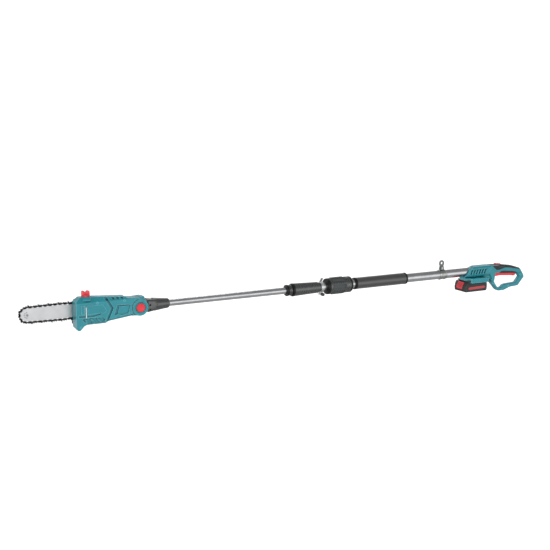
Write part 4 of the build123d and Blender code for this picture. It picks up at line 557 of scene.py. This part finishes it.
# tilt lock button with a dished face and a finger ring
button = turned("tilt_lock_button", [(-22, 0), (-22, 4), (-31.5, 4), (-31.5, 15.0), (-35, 15.0),
    (-36.2, 14.0), (-36.4, 12.6), (-36.0, 11.0), (-35.2, 10.2), (-34.8, 5), (-34.7, 0)], 64, "Y",
    (PIVOT_X, 0, 0))
settled(button, "red_plastic", "lock_button", "lock_button", smooth=28)


# ---------------------------------------------------------------- neck between head and pole
for side, node in ((-1, "neck_near"), (1, "neck_far")):
    moulded_copy(node, 0.9, smooth=32)
    # raised rear cuff with an arrow-shaped front edge
    cuff = turned("cuff", [(-1125, 0), (-1125, 24), (-1078, 18.4), (-1064, 17.2), (-1060.5, 13.6),
        (-1060.5, 0)], 72, "X", (0, 0, 0))
    kept(cuff, [(-1119, 30), (-1119, 15), (-1107, 4.5), (-1111, -12), (-1114, -30), (-1055, -30),
        (-1055, 30)], "Y", 0, side * 26)
    bored(cuff, -1130, -1050, 12.6, 64, "X", (0, 0, 0))
    rounded(cuff, 0.7, 2, 40)
    cuff.name = node + "_cuff"
    settled(cuff, "dark_grey_plastic", "upper_pole", smooth=40)
for step, (x, z) in enumerate(((38, -13), (38, 3), (68, -15.2), (68, 15.2))):
    plug = turned(f"neck_screw_plug_{step}", [(-8, 0), (-8, 3.45), (-11.6, 3.45), (-12.0, 3.0),
        (-12.0, 0)], 24, "Y", (PIVOT_X + x, 0, z))
    settled(plug, "dark_grey_plastic", "upper_pole", *(("neck_screws",) if step == 0 else ()))


# ---------------------------------------------------------------- guide sleeve and clamp
sleeve = turned("guide_sleeve_moulded", [(-601, 12.5), (-601, 18.2), (-600, 19.6), (-595.5, 20.0),
    (-593, 19.4), (-592.4, 17.6), (-588.6, 17.6), (-588, 19.4), (-586.6, 20.0), (-583.5, 20.0),
    (-582, 18.8), (-581.6, 17.8), (-577, 17.8), (-576.4, 21.4), (-574.6, 23.3), (-572, 23.7),
    (-569, 23.6), (-520, 22.0), (-519.4, 21.5), (-516.6, 21.4), (-516, 21.8), (-471.5, 20.3),
    (-469, 19.6), (-468.4, 17.4), (-448, 17.3), (-448, 15.1), (-593, 15.1), (-593, 12.5)], 96, "X")
cut(sleeve, [(-475, -26), (-440, -26), (-440, -1.5), (-475, -1.5)], "Y", -1.5, 1.5)
settled(sleeve, "dark_grey_plastic", "middle_pole", "guide_sleeve", smooth=32)
# rubber seals at the sleeve's mouth and shoulder
for name, x, inner, r in (("sleeve_seal_front", -602.6, 12.7, 20.9), ("sleeve_seal_rear", -579.6,
        17.9, 24.0)):
    seal = turned(name, [(x, inner), (x, r - 1.2), (x + 1.6, r), (x + 6.8, r), (x + 8.4, r - 1.2),
        (x + 8.4, r - 3.5), (x + 2, r - 3.5), (x + 2, inner)], 96, "X")
    settled(seal, "seal_rubber", "middle_pole", smooth=40)

# clamp band: pressed steel with rolled edges and two ears
band = turned("clamp_band_pressed", [(-459.8, 17.4), (-459.8, 18.9), (-458.6, 19.4), (-456.8, 18.9),
    (-451.2, 18.9), (-449.4, 19.4), (-448.2, 18.9), (-448.2, 17.4)], 96, "X")
ears = prism("tool", [(-6.5, -18), (-6.5, -29.6), (-5.5, -31.0), (-4, -31.0), (-4, -18)], "X",
    -459.8, -448.2)
combined(band, ears, "UNION")
ears = prism("tool", [(6.5, -18), (6.5, -29.6), (5.5, -31.0), (4, -31.0), (4, -18)], "X", -459.8,
    -448.2)
combined(band, ears, "UNION")
cut(band, [(-4, -10), (-4, -33), (4, -33), (4, -10)], "X", -462, -446)
bored(band, -12, 12, 2.8, 32, "Y", (-454, 0, -26.1))
settled(rounded(band, 0.35, 2, 40), "clamp_lever_metal", "middle_pole", "clamp_band", smooth=35)

# ---------------------------------------------------------------- twist-lock collar
collar = turned("twist_collar_moulded", [(-434, 15.5), (-434, 24.6), (-433, 26.8), (-430.6, 27.8),
    (-428.2, 27.6), (-427.6, 26.6), (-427.0, 28.4), (-425.2, 29.6), (-421, 30.0), (-352.5, 30.0),
    (-351.4, 29.4), (-350.8, 28.5), (-349.4, 28.5), (-348.8, 29.4), (-347.8, 29.9), (-336.5, 29.6),
    (-331.5, 28.0), (-329.2, 26.0), (-329, 24.0), (-329, 17.5), (-330.5, 17.5), (-330.5, 21.3),
    (-380, 21.3), (-429.8, 19.0), (-429.8, 15.5)], 120, "X")
panel = prism("panel", [(-417, 10.4), (-414, 12.2), (-362, 12.2), (-358.5, 10.4), (-358.5, -10.4),
    (-362, -12.2), (-414, -12.2), (-417, -10.4)], "Z", 27.9, 40)
for step in range(6):
    tool = twin_of(panel)
    alone(tool)
    bpy.ops.transform.rotate(value=math.radians(60 * step + 30), orient_axis="X",
        center_override=(0, 0, 0))
    bpy.ops.object.transform_apply(location=True, rotation=True, scale=True)
    combined(collar, tool)
bpy.data.objects.remove(panel)
settled(rounded(collar, 0.5, 2, 40), "dark_grey_plastic", "collar", "twist_collar", smooth=35)
# dark rubber bumpers round both of its ends
for name, profile in (("collar_bumper_front", [(-433.0, 15.6), (-434.4, 15.6), (-434.4, 26.6),
        (-433.2, 28.7), (-430.8, 29.6), (-425.4, 29.8), (-423.6, 29.2), (-423, 26.5)]),
        ("collar_bumper_rear", [(-337.8, 26.5), (-338.4, 29.4), (-337.0, 30.2), (-331.6, 29.4),
        (-329.0, 27.2), (-328.8, 24.0), (-330.5, 23.6)])):
    settled(turned(name, profile, 96, "X"), "seal_rubber", "collar", smooth=50)
# soft pads with a raised rim, set into its grip panels
pad = prism("collar_pad_00", [(-415.4, 10.6), (-362.6, 10.6), (-360.2, 9.4), (-360.2, -9.4),
    (-362.6, -10.6), (-415.4, -10.6)], "Z", 27.6, 28.7)
rounded(pad, 0.6, 2, 40)
rim = prism("rim", [(-415.0, 10.4), (-360.6, 10.4), (-360.6, -10.4), (-415.0, -10.4)], "Z", 28,
    30.2)
cut(rim, [(-412.2, 7.8), (-363.4, 7.8), (-363.4, -7.8), (-412.2, -7.8)], "Z", 27, 31)
rounded(rim, 0.4, 2, 40)
alone(pad)
rim.select_set(True)
bpy.ops.object.join()
alone(pad)
bpy.ops.transform.rotate(value=math.radians(30), orient_axis="X", center_override=(0, 0, 0))
for piece in ring_copies(pad, "collar_pad", 6, "X", (0, 0, 0)):
    settled(piece, "collar_rubber", "collar", smooth=40)

# ---------------------------------------------------------------- foam grip
foam = turned("foam_grip_sleeve", [(-312, 17.1), (-312, 19.2), (-311.4, 20.6), (-309.8, 21.5),
    (-307.4, 21.8), (-290, 21.55), (-250, 21.7), (-195, 21.5), (-140, 21.75), (-100, 21.55),
    (-82.6, 21.8), (-80.2, 21.5), (-78.6, 20.6), (-78, 19.2), (-78, 17.1)], 96, "X")
settled(foam, "black_foam", "handle", "foam_grip", smooth=60)
for name, x in (("foam_end_front", -312.2), ("foam_end_rear", -86.4)):
    ring = turned(name, [(x, 17.1), (x, 20.9), (x + 1.2, 22.2), (x + 7.4, 22.2), (x + 8.6, 21.2),
        (x + 8.6, 17.1)], 96, "X")
    settled(ring, "seal_rubber", "handle", smooth=40)

# ---------------------------------------------------------------- pressed strap bracket
hoop = turned("strap_bracket_hoop", [(78, 17.05), (78, 17.8), (79, 18.4), (81.6, 18.4),
    (82.8, 19.4), (84.1, 19.8), (86.1, 19.4), (87.4, 18.4), (102.6, 18.4), (103.9, 19.4),
    (105.9, 19.8), (107.2, 19.4), (108.4, 18.4), (111, 18.4), (112, 17.8), (112, 17.05)], 96, "X")
settled(hoop, "zinc_plated_steel", "handle", "strap_bracket", smooth=40)
plate = prism("strap_bracket_plate", [(83.5, 18), (83.5, 27), (85.6, 33), (86.2, 36), (84.6, 39),
    (83.6, 43), (83.5, 47.0), (84.6, 51.2), (87.2, 54.8), (90.8, 56.9), (95, 57.5), (99.2, 56.9),
    (102.8, 54.8), (105.4, 51.2), (106.5, 47.0), (106.4, 43), (105.4, 39), (103.8, 36), (104.4, 33),
    (106.5, 27), (106.5, 18)], "Y", -1.6, 1.6)
for z, r in ((46, 5.0), (26, 2.7)):
    bored(plate, -5, 5, r, 48, "Y", (95, 0, z))
rounded(plate, 0.5, 2, 40)
bored(plate, 60, 130, 17.3, 64, "X")
settled(plate, "bracket_steel", "handle", smooth=35)


# ---------------------------------------------------------------- rear housing and D-handle
def from_handle(*pairs):
    """Outline points of the handle, given in millimetres from its front joint."""
    return [(HANDLE_X + a, b) for a, b in pairs]


RING_OUTSIDE = from_handle((-15, 20.5), (45, 18), (105, 9), (144, -3.2), (149, -6.5), (164, -28),
    (169, -38), (169, -44), (153, -61), (141, -75), (136, -76.8), (103, -79), (97, -79.8),
    (70, -89), (63, -90), (42, -90), (37, -89.2), (27, -84), (8, -62), (-12, -41), (-15, -34))
RING_INSIDE = from_handle((12, -30), (13, -13), (115, -19.5), (132, -26), (146, -37.5),
    (146, -40.5), (129, -61), (125, -62.4), (78, -65), (73, -65.6), (63, -69), (55, -76),
    (50, -77.4), (37, -76.7), (33, -75), (22, -60), (10.5, -42))
GRIP = from_handle((-15, 20.3), (45, 17.8), (105, 8.8), (142, -3.2), (156, -20), (134, -27),
    (115, -19.5), (13, -13), (10, -34), (-15, -34))


def rear_shell(side):
    """One half of the rear housing with its D-handle; side is -1 for the near half."""
    corner = [(231, 15.8), (240, 20.5)] if side < 0 else [(231, 6), (258, 20.5)]
    shell = prism("rear_shell", corner + [(330, 20.5), (317, -7), (331, -36), (201, -36),
        (197, -16), (208, -4), (217, 12 if side < 0 else 2)], "Y", 0, side * 24)
    kept(shell, [(-side, -45), (side * 15, -45), (side * 15, -22), (side * 24.5, -9),
        (side * 24.5, 13), (side * 15, 22.5), (-side, 22.5)], "X", 190, 350)
    rounded_where(shell, lambda x, y, z: abs(y) > 23 and z > -12 and x < 238, 1.4, 3)
    platform = prism("tool", [(198, -22), (290, -22), (303, -27), (301, -41), (211, -41),
        (198, -33.5)], "Y", 0, side * 38.5)
    rounded_where(platform, lambda x, y, z: abs(y) > 38 and z > -23, 2.6, 4)
    cut(platform, [(190, side * 12), (196, side * 15), (219, side * 37.6), (219, side * 45),
        (190, side * 45)], "Z", -50, -10)
    combined(shell, platform, "UNION")
    # shoulder behind the seam, spreading into the ring
    shoulder = prism("tool", [(319.5, -7), (332, 20), (336, 18), (352, 4.5), (359, -3),
        (352.5, -14), (350, -32), (348, -44), (344, -50), (335, -46), (329, -38), (333, -35)], "Y",
        0, side * 20)
    rounded_where(shoulder, lambda x, y, z: abs(y) > 19.9, 3.4, 3)
    combined(shell, shoulder, "UNION")
    spine = prism("tool", [(300, 18), (300, -34), (345, -34), (345, 14)], "Y", 0, side * 15)
    combined(shell, spine, "UNION")
    ring = prism("tool", RING_OUTSIDE, "Y", 0, side * 10)
    cut(ring, RING_INSIDE, "Y", -side, side * 11)
    rounded_where(ring, lambda x, y, z: abs(y) > 9.9 and x > HANDLE_X, 3.6, 3)
    combined(shell, ring, "UNION")
    grip = prism("tool", GRIP, "Y", side * 0.2, side * 16)
    rounded_where(grip, lambda x, y, z: abs(y) > 15.9 and x > HANDLE_X and z > -30, 6.0, 5)
    combined(shell, grip, "UNION")
    # tube socket, trigger and lock-off slots
    bored(shell, 190, 287, 17, 64, "X")
    cut(shell, from_handle((12.5, -6), (127, -6), (127, -36), (12.5, -36)), "Y", -side, side * 6.6)
    cut(shell, from_handle((18, 5), (50, 5), (50, 30), (18, 30)), "Y", -side, side * 7.5)
    # slideway of the battery
    cut(shell, [(180, -30.5), (306.5, -30.5), (306.5, -36), (180, -36)], "Y", -side, side * 35.5)
    cut(shell, [(180, -35), (306.5, -35), (306.5, -46), (180, -46)], "Y", -side, side * 30.5)
    # slanted cooling slots
    for step in range(6):
        x = 219.5 + 13.5 * step
        cut(shell, [(x - 1, -8.6), (x + 5.8, -8.6), (x + 13.2, 9.8), (x + 6.4, 9.8)], "Y",
            side * 20.4, side * 30)
    # screw wells, on the near side only
    for x, z in REAR_SCREWS if side < 0 else ():
        bored(shell, -30, -7.2, 3.6, 24, "Y", (HANDLE_X + x, 0, z))
    return rounded(shell, 0.5, 2, 42)


for side, node in ((-1, "rear_housing_near"), (1, "rear_housing_far")):
    shell = rear_shell(side)
    shell.name = node + "_shell"
    settled(shell, "teal_plastic", "handle", node, smooth=30)
    # raised ribs between the cooling slots
    for step in range(1, 7):
        x = 211.2 + 13.5 * step
        rib = prism(f"{node}_rib_{step}", [(x, -9.4), (x + 6.6, -9.4), (x + 14.4, 10.4),
            (x + 7.8, 10.4)], "Y", side * 23.8, side * 27.2)
        settled(rounded(rib, 1.6, 3), "teal_plastic", "handle")
    # black guard pad over the trigger
    pad = prism(f"trigger_shroud_{step}_{node}", from_handle((34, -14.6), (44, -7.0), (60, -7.4),
        (101, -11.6), (116, -16), (128, -23.4), (115, -20.6), (60, -16.6)), "Y", side * 13,
        side * 16.5)
    rounded_where(pad, lambda x, y, z: abs(y) > 16.4, 0.9, 3)
    settled(pad, "grip_rubber", "handle")

# plugs over the ring's screws
for step, (x, z) in enumerate(REAR_SCREWS[1:]):
    plug = turned(f"rear_screw_plug_{step}", [(-7.4, 0), (-7.4, 3.56), (-9.6, 3.56), (-9.9, 3.2),
        (-9.9, 0)], 24, "Y", (HANDLE_X + x, 0, z))
    settled(plug, "teal_plastic", "handle", *(("rear_housing_screws",) if step == 0 else ()))

# soft overmould along the top of the grip
OVERMOULD = from_handle((-9, 20.9), (45, 18.5), (105, 9.5), (138, -1), (140, -5.2), (122, -3.4),
    (106, -0.2), (92, 2.6), (74, 5.2), (60, 5.4), (48, 1.8), (34, -1.4), (24, -1.2), (12, 2.4),
    (-1, 9.8), (-9, 14.5))
overmould = prism("grip_overmould_soft", OVERMOULD, "Y", -16.6, 16.6)
rounded_where(overmould, lambda x, y, z: abs(y) > 16.5 and z > 9 - max(0, x - HANDLE_X - 100) * 0.3
    and z > 20.9 - (x - HANDLE_X + 9) * 0.16 - 3.0, 6.4, 5)
cut(overmould, from_handle((17.6, 0), (50.4, 0), (50.4, 30), (17.6, 30)), "Y", -7.4, 7.4)
# groove along each flank
for side in (-1, 1):
    cut(overmould, from_handle((30, 8.4), (52, 12.6), (92, 8.6), (124, 1.2), (124, 0.2), (92, 7.4),
        (52, 11.2), (30, 7.4)), "Y", side * 15.8, side * 20)
settled(rounded(overmould, 0.4, 2, 40), "grip_rubber", "handle", "grip_overmould", smooth=32)

# trigger and lock-off button
trigger = prism("trigger_moulded", from_handle((14, -31), (17.5, -23.5), (19, -15), (24, -13.4),
    (60, -12.2), (110, -13.4), (119, -17), (124.5, -24), (126, -29.5), (121.5, -34.6), (100, -31.8),
    (70, -29.2), (45, -27.3), (24, -28.8)), "Y", -6, 6)
rounded_where(trigger, lambda x, y, z: z < -21, 1.3, 3)
settled(trigger, "red_plastic", "trigger", "trigger", smooth=45)
lock = prism("lock_off_button_moulded", from_handle((18.5, 8), (18.5, 17.5), (22, 22.8), (25, 24.4),
    (30, 24.0), (33, 22.0), (38, 21.6), (42, 22.8), (45, 22.4), (49.5, 17.0), (49.5, 8)), "Y", -7,
    7)
settled(rounded(lock, 0.9, 3, 25), "red_plastic", "lock_off", "lock_off_button", smooth=50)


# ---------------------------------------------------------------- battery
BATTERY = [(184.2, -58), (190.2, -75), (296, -75), (302.5, -72.4), (306, -66), (306, -52),
    (302.5, -45), (297, -42), (205.5, -42), (201, -36.2), (198.5, -36.2)]


def battery_case(name, low, high):
    """A slice of the battery case with drawn-in corners and a window for the latch."""
    case = prism(name, BATTERY, "Y", -37.5, 37.5)
    kept(case, [(180, 26), (194, 37.6), (290, 37.6), (306.5, 24), (306.5, -24), (290, -37.6),
        (194, -37.6), (180, -26)], "Z", -80, -30)
    rounded_where(case, lambda x, y, z: abs(y) > 23 and z > -74, 2.4, 4)
    cut(case, [(170, -18.4), (204, -18.4), (204, 18.4), (170, 18.4)], "Z", -66.6, -37.4)
    kept(case, [(150, -50), (350, -50), (350, 50), (150, 50)], "Z", low, high)
    return rounded(case, 0.8, 2, 40)


settled(battery_case("battery_case_lower_moulded", -76, -53.3), "battery_plastic", "battery",
    "battery_case_lower", smooth=30)
upper = battery_case("battery_case_upper_moulded", -52.9, -30)
# flange and neck that slide in the rail, with the way in for the blades
combined(upper, prism("tool", [(204, -44), (299, -44), (299, -30.8), (204, -30.8)], "Y", -30, 30),
    "UNION")
combined(upper, prism("tool", [(204, -35.5), (299, -35.5), (299, -30.8), (204, -30.8)], "Y", -35,
    35), "UNION")
cut(upper, [(261, -37.5), (320, -37.5), (320, -29), (261, -29)], "Y", -20, 20)
settled(upper, "battery_plastic", "battery", "battery_case_upper", smooth=30)
# recessed joint between the two cases, and a coloured strip along each side
joint = prism("battery_joint", [(189, 26), (196.5, 36.4), (289, 36.4), (304.8, 23), (304.8, -23),
    (289, -36.4), (196.5, -36.4), (189, -26)], "Z", -53.4, -52.8)
cut(joint, [(170, -18.4), (204, -18.4), (204, 18.4), (170, 18.4)], "Z", -66.6, -37.4)
settled(joint, "battery_plastic", "battery")
for side in (-1, 1):
    strip = prism(f"battery_strip_{'near' if side < 0 else 'far'}", [(208, -55.6), (279, -54.0),
        (284, -56), (284.6, -61), (281, -64.6), (206, -66.2), (202.5, -63.8), (203, -58.2)], "Y",
        side * 36.6, side * 38.1)
    settled(rounded(strip, 0.4, 2), "strip_plastic", "battery")
latch = prism("battery_latch_moulded", [(186.4, -65.9), (183.3, -58), (188.2, -48), (194.4, -38.2),
    (200, -38.2), (200, -65.9)], "Y", -17.8, 17.8)
rounded(latch, 1.2, 3, 15)
for step in range(4):
    x, z = 184.6 + 2.3 * step, -56.0 + 4.2 * step
    cut(latch, [(x - 4, z + 1), (x + 1.3, z - 1.2), (x + 2.1, z + 0.6), (x - 3, z + 3)], "Y", -13,
        13)
settled(latch, "red_plastic", "battery_latch", "battery_latch", smooth=35)


# ---------------------------------------------------------------- guide bar and saw chain
def rail_hull(extra):
    """Outline of the bar: three circles with their common tangents, grown by extra."""
    top = []
    for (ax, ar), (bx, br) in zip(RAIL, RAIL[1:]):
        lean = math.acos((br - ar) / (ax - bx))
        top += [(ax, ar + extra, lean), (bx, br + extra, lean)]
    first, last = top[0], top[-1]
    round_nose = [(NOSE_X + first[1] * math.cos(math.pi - step * (math.pi - first[2]) / 14),
        first[1] * math.sin(math.pi - step * (math.pi - first[2]) / 14)) for step in range(15)]
    along = [(x + r * math.cos(lean), r * math.sin(lean)) for x, r, lean in top[1:]]
    upper = round_nose + along
    return [(x, BAR_Z + z) for x, z in upper] + [(x, BAR_Z - z) for x, z in reversed(upper[1:])]


bar = prism("guide_bar_ground", [(min(x, -1318.0), z) for x, z in rail_hull(0)], "Y", 15.9, 20.1)
rounded_where(bar, lambda x, y, z: x < -1319, 0.5, 2)
# nose window between the rivets, stud slot, adjuster hole and oil hole
bored(bar, 14, 22, 4.4, 40, "Y", (NOSE_X, 0, BAR_Z))
cut(bar, [(-1378, BAR_Z - 3.1), (-1376, BAR_Z - 3.6), (-1332, BAR_Z - 3.6), (-1330, BAR_Z - 3.1),
    (-1330, BAR_Z + 3.1), (-1332, BAR_Z + 3.6), (-1376, BAR_Z + 3.6), (-1378, BAR_Z + 3.1)], "Y",
    14, 22)
bored(bar, 14, 22, 1.8, 24, "Y", (-1388, 0, -6))
bored(bar, 14, 22, 2.4, 32, "Y", (-1386, 0, 17.5))
settled(bar, "bar_steel", "head", "guide_bar", smooth=30)
# rivets that hold the nose, and the seam of its laminate
for step in range(5):
    turn = math.radians(100 + 40 * step)
    nose_rivet = turned(f"nose_rivet_{step}", [(15.6, 0), (15.6, 1.3), (15.9, 1.9), (20.1, 1.9),
        (20.4, 1.3), (20.4, 0)], 24, "Y", (NOSE_X + 9.5 * math.cos(turn), 0,
        BAR_Z + 9.5 * math.sin(turn)))
    settled(nose_rivet, "machined_steel", "head", smooth=40)
hub = turned("nose_hub", [(15.5, 0), (15.5, 3.0), (16.2, 4.3), (19.8, 4.3), (20.5, 3.0), (20.5, 0)],
    40, "Y", (NOSE_X, 0, BAR_Z))
bored(hub, 15, 21, 1.3, 24, "Y", (NOSE_X, 0, BAR_Z))
settled(hub, "machined_steel", "head", smooth=40)

# rivets of the chain, equally spaced on their line round bar and sprocket
RIVET_LINE = [(NOSE_X, 25.4), (BELLY_X, 27.4), (SPROCKET_X, 18.394)]
lean = [math.acos((b[1] - a[1]) / (a[0] - b[0])) for a, b in zip(RIVET_LINE, RIVET_LINE[1:])]
line = []
for (x, r), start, end in ((RIVET_LINE[1], lean[0], lean[1]), (RIVET_LINE[2], lean[1], -lean[1]),
        (RIVET_LINE[1], -lean[1], -lean[0]), (RIVET_LINE[0], -lean[0], lean[0] - 2 * math.pi)):
    steps = max(2, int(abs(start - end) * r / 0.1))
    line += [(x + r * math.cos(start + (end - start) * n / steps),
        BAR_Z + r * math.sin(start + (end - start) * n / steps)) for n in range(steps + 1)]
line.append(line[0])
runs = [math.dist(a, b) for a, b in zip(line, line[1:])]
pairs = 2 * round(sum(runs) / (4 * CHAIN_PITCH))
rivets, walked, at = [], 0.0, 0
for step in range(2 * pairs):
    while walked + runs[at] < sum(runs) * step / (2 * pairs):
        walked += runs[at]
        at += 1
    share = (sum(runs) * step / (2 * pairs) - walked) / runs[at]
    rivets.append(tuple(a + (b - a) * share for a, b in zip(line[at], line[at + 1])))


def laid_on_chain(name, template, links):
    """Copies of a link laid on the chain and joined; the template is used up."""
    made = []
    for index in links:
        (ax, az), (bx, bz) = rivets[index % len(rivets)], rivets[(index + 1) % len(rivets)]
        twin = twin_of(template)
        twin.location = Vector(((ax + bx) / 2, 0, (az + bz) / 2)) * MM
        twin.rotation_euler = (0, -math.atan2(bz - az, bx - ax), 0)
        made.append(twin)
    bpy.data.objects.remove(template)
    alone(made[0])
    for twin in made:
        twin.select_set(True)
    bpy.ops.object.join()
    made[0].name = name
    alone(made[0])
    bpy.ops.object.transform_apply(location=True, rotation=True, scale=True)
    return made[0]


STRAP = [(-8.0, 0), (-6.9, -2.8), (-4.1, -3.9), (-1.7, -2.3), (1.7, -2.3), (4.1, -3.9), (6.9, -2.8),
    (8.0, 0), (6.9, 2.8), (5.6, 4.5), (3.4, 4.6), (1.5, 1.2), (-1.5, 1.2), (-3.4, 4.6), (-5.6, 4.5),
    (-6.9, 2.8)]
# the raker goes ahead, then the gullet, then the tooth with its top falling away behind
CUTTER = [(-8.0, 0), (-6.9, -2.8), (-4.1, -3.9), (-1.7, -2.3), (1.7, -2.3), (4.1, -3.9),
    (6.9, -2.8), (8.0, 0), (7.0, 2.8), (6.2, 5.2), (5.6, 5.5), (0.2, 6.6), (-0.4, 5.2), (0.6, 3.2),
    (-0.4, 1.6), (-2.4, 1.5), (-3.2, 4.7), (-4.6, 5.0), (-6.2, 3.4)]
odd = list(range(1, 2 * pairs + 1, 2))
for side, low, cutters in ((-1, 16.1, odd[0::4]), (1, 18.7, odd[2::4])):
    name = "near" if side < 0 else "far"
    plain = [index for index in odd if index not in cutters]
    strap = rounded(prism("strap", STRAP, "Y", low, low + 1.2), 0.25, 1, 50)
    straps = laid_on_chain(f"chain_straps_{name}", strap, plain)
    settled(straps, "blackened_steel", "head", *(("chain_tie_straps",) if side < 0 else ()),
        even=False)
    cutter = rounded(prism("cutter", CUTTER, "Y", low, low + 1.2), 0.25, 1, 50)
    plate = prism("plate", [(0.2, 6.65), (-0.1, 5.4), (5.5, 4.2), (5.7, 5.4)], "Y", low - 1.6,
        low + 2.8)
    alone(cutter)
    plate.select_set(True)
    bpy.ops.object.join()
    settled(laid_on_chain(f"chain_cutters_{name}", cutter, cutters), "blackened_steel", "head",
        *(("chain_cutters",) if side < 0 else ()), even=False)
drive = prism("drive", [(-6.6, 0), (-5.4, -2.3), (-3.2, -2.4), (-1.2, -6.4), (1.2, -6.4),
    (3.2, -2.4), (5.4, -2.3), (6.6, 0), (5.4, 2.4), (2, 2.0), (-2, 2.0), (-5.4, 2.4)], "Y", 17.35,
    18.65)
settled(laid_on_chain("chain_drivers", drive, range(0, 2 * pairs, 2)), "blackened_steel", "head",
    "chain_drive_links", even=False)
head_rivet = turned("rivet", [(15.7, 0), (15.7, 1.3), (16.2, 1.9), (19.8, 1.9), (20.3, 1.3),
    (20.3, 0)], 10, "Y", (-CHAIN_PITCH / 2, 0, 0))
settled(laid_on_chain("chain_rivets", head_rivet, range(2 * pairs)), "rivet_steel", "head",
    even=False)
# ---------------------------------------------------------------- camera, floor and light
camera = bpy.data.objects.new("Camera", bpy.data.cameras.new("Camera"))
camera.data.lens = 67.09
camera.location = (-2.3279, -3.2309, 0.7365)
camera.rotation_euler = (math.radians(79.5), 0, math.radians(-27.5))
camera.data.clip_end = 60
bpy.context.collection.objects.link(camera)
bpy.context.scene.camera = camera
bpy.context.scene.view_settings.view_transform = "Standard"

floor_finish = new_material("Painted_floor")
grit = add_node(floor_finish, "ShaderNodeTexNoise", {"Vector": add_node(floor_finish,
    "ShaderNodeTexCoord").outputs["Object"], "Scale": 1 / 0.004, "Detail": 3.0})
close_material(floor_finish, base_color=linear("#b4b4b4"), roughness=0.85,
    emission_color=linear("#ffffff"), emission_strength=0.78, normal=add_node(floor_finish,
    "ShaderNodeBump", {"Strength": 0.1, "Distance": 0.0001,
    "Height": grit.outputs["Fac"]}).outputs[0])
# the head swings down as far as its own length, so the floor lies clear below it
reach = PIVOT_X * MM - cad_box[0][0]
bpy.ops.mesh.primitive_plane_add(size=40, location=(0, 0, min(cad_box[0][2], -reach) - 20 * MM))
floor = bpy.context.object
floor.name = "floor"
floor.data.materials.append(floor_finish)
floor.visible_glossy = False
floor.visible_diffuse = False

world = bpy.data.worlds.new("Studio")
bpy.context.scene.world = world
world.use_nodes = True
world.node_tree.nodes.clear()
direction = add_node(world, "ShaderNodeTexCoord").outputs["Generated"]
height = add_node(world, "ShaderNodeSeparateXYZ", {"Vector": direction}).outputs["Z"]
span = add_node(world, "ShaderNodeMapRange", {"Value": height, "From Min": -1.0, "From Max": 1.0})
ramp = add_node(world, "ShaderNodeValToRGB", {"Fac": span.outputs["Result"]})
ramp.color_ramp.elements[0].position = 0.0
ramp.color_ramp.elements[0].color = (0.42, 0.42, 0.42, 1)
ramp.color_ramp.elements[1].position = 1.0
ramp.color_ramp.elements[1].color = (0.3, 0.3, 0.3, 1)
for position, grey in ((0.22, 0.36), (0.32, 0.55), (0.38, 1.2), (0.6, 1.2), (0.69, 0.5),
        (0.82, 0.24)):
    element = ramp.color_ramp.elements.new(position)
    element.color = (grey, grey, grey, 1)
light = add_node(world, "ShaderNodeBackground", {"Color": ramp.outputs["Color"], "Strength": 1.05})
add_node(world, "ShaderNodeOutputWorld", {"Surface": light.outputs["Background"]})

for name, place, size, power in (("Back_softbox", (-0.6, 2.6, 3.2), (3.5, 1.6), 45),
        ("Front_softbox", (-2.0, -3.4, 0.6), (3.2, 1.2), 40),):
    lamp = bpy.data.objects.new(name, bpy.data.lights.new(name, "AREA"))
    lamp.data.shape = "RECTANGLE"
    lamp.data.size, lamp.data.size_y = size
    lamp.data.energy = power
    lamp.location = place
    aim = Vector((-0.5, 0, 0)) - Vector(place)
    lamp.rotation_euler = aim.to_track_quat("-Z", "Y").to_euler()
    bpy.context.collection.objects.link(lamp)
sky = bpy.data.objects.new("Overhead_wash", bpy.data.lights.new("Overhead_wash", "SUN"))
sky.data.energy = 0.7
sky.data.angle = math.radians(70)
sky.rotation_euler = (math.radians(-28), 0, 0)
bpy.context.collection.objects.link(sky)
sky.visible_glossy = False
front = bpy.data.objects.new("Front_wash", bpy.data.lights.new("Front_wash", "SUN"))
front.data.energy = 1.75
front.data.angle = math.radians(40)
front.rotation_euler = (math.radians(88), 0, math.radians(-20))
bpy.context.collection.objects.link(front)
front.visible_glossy = False
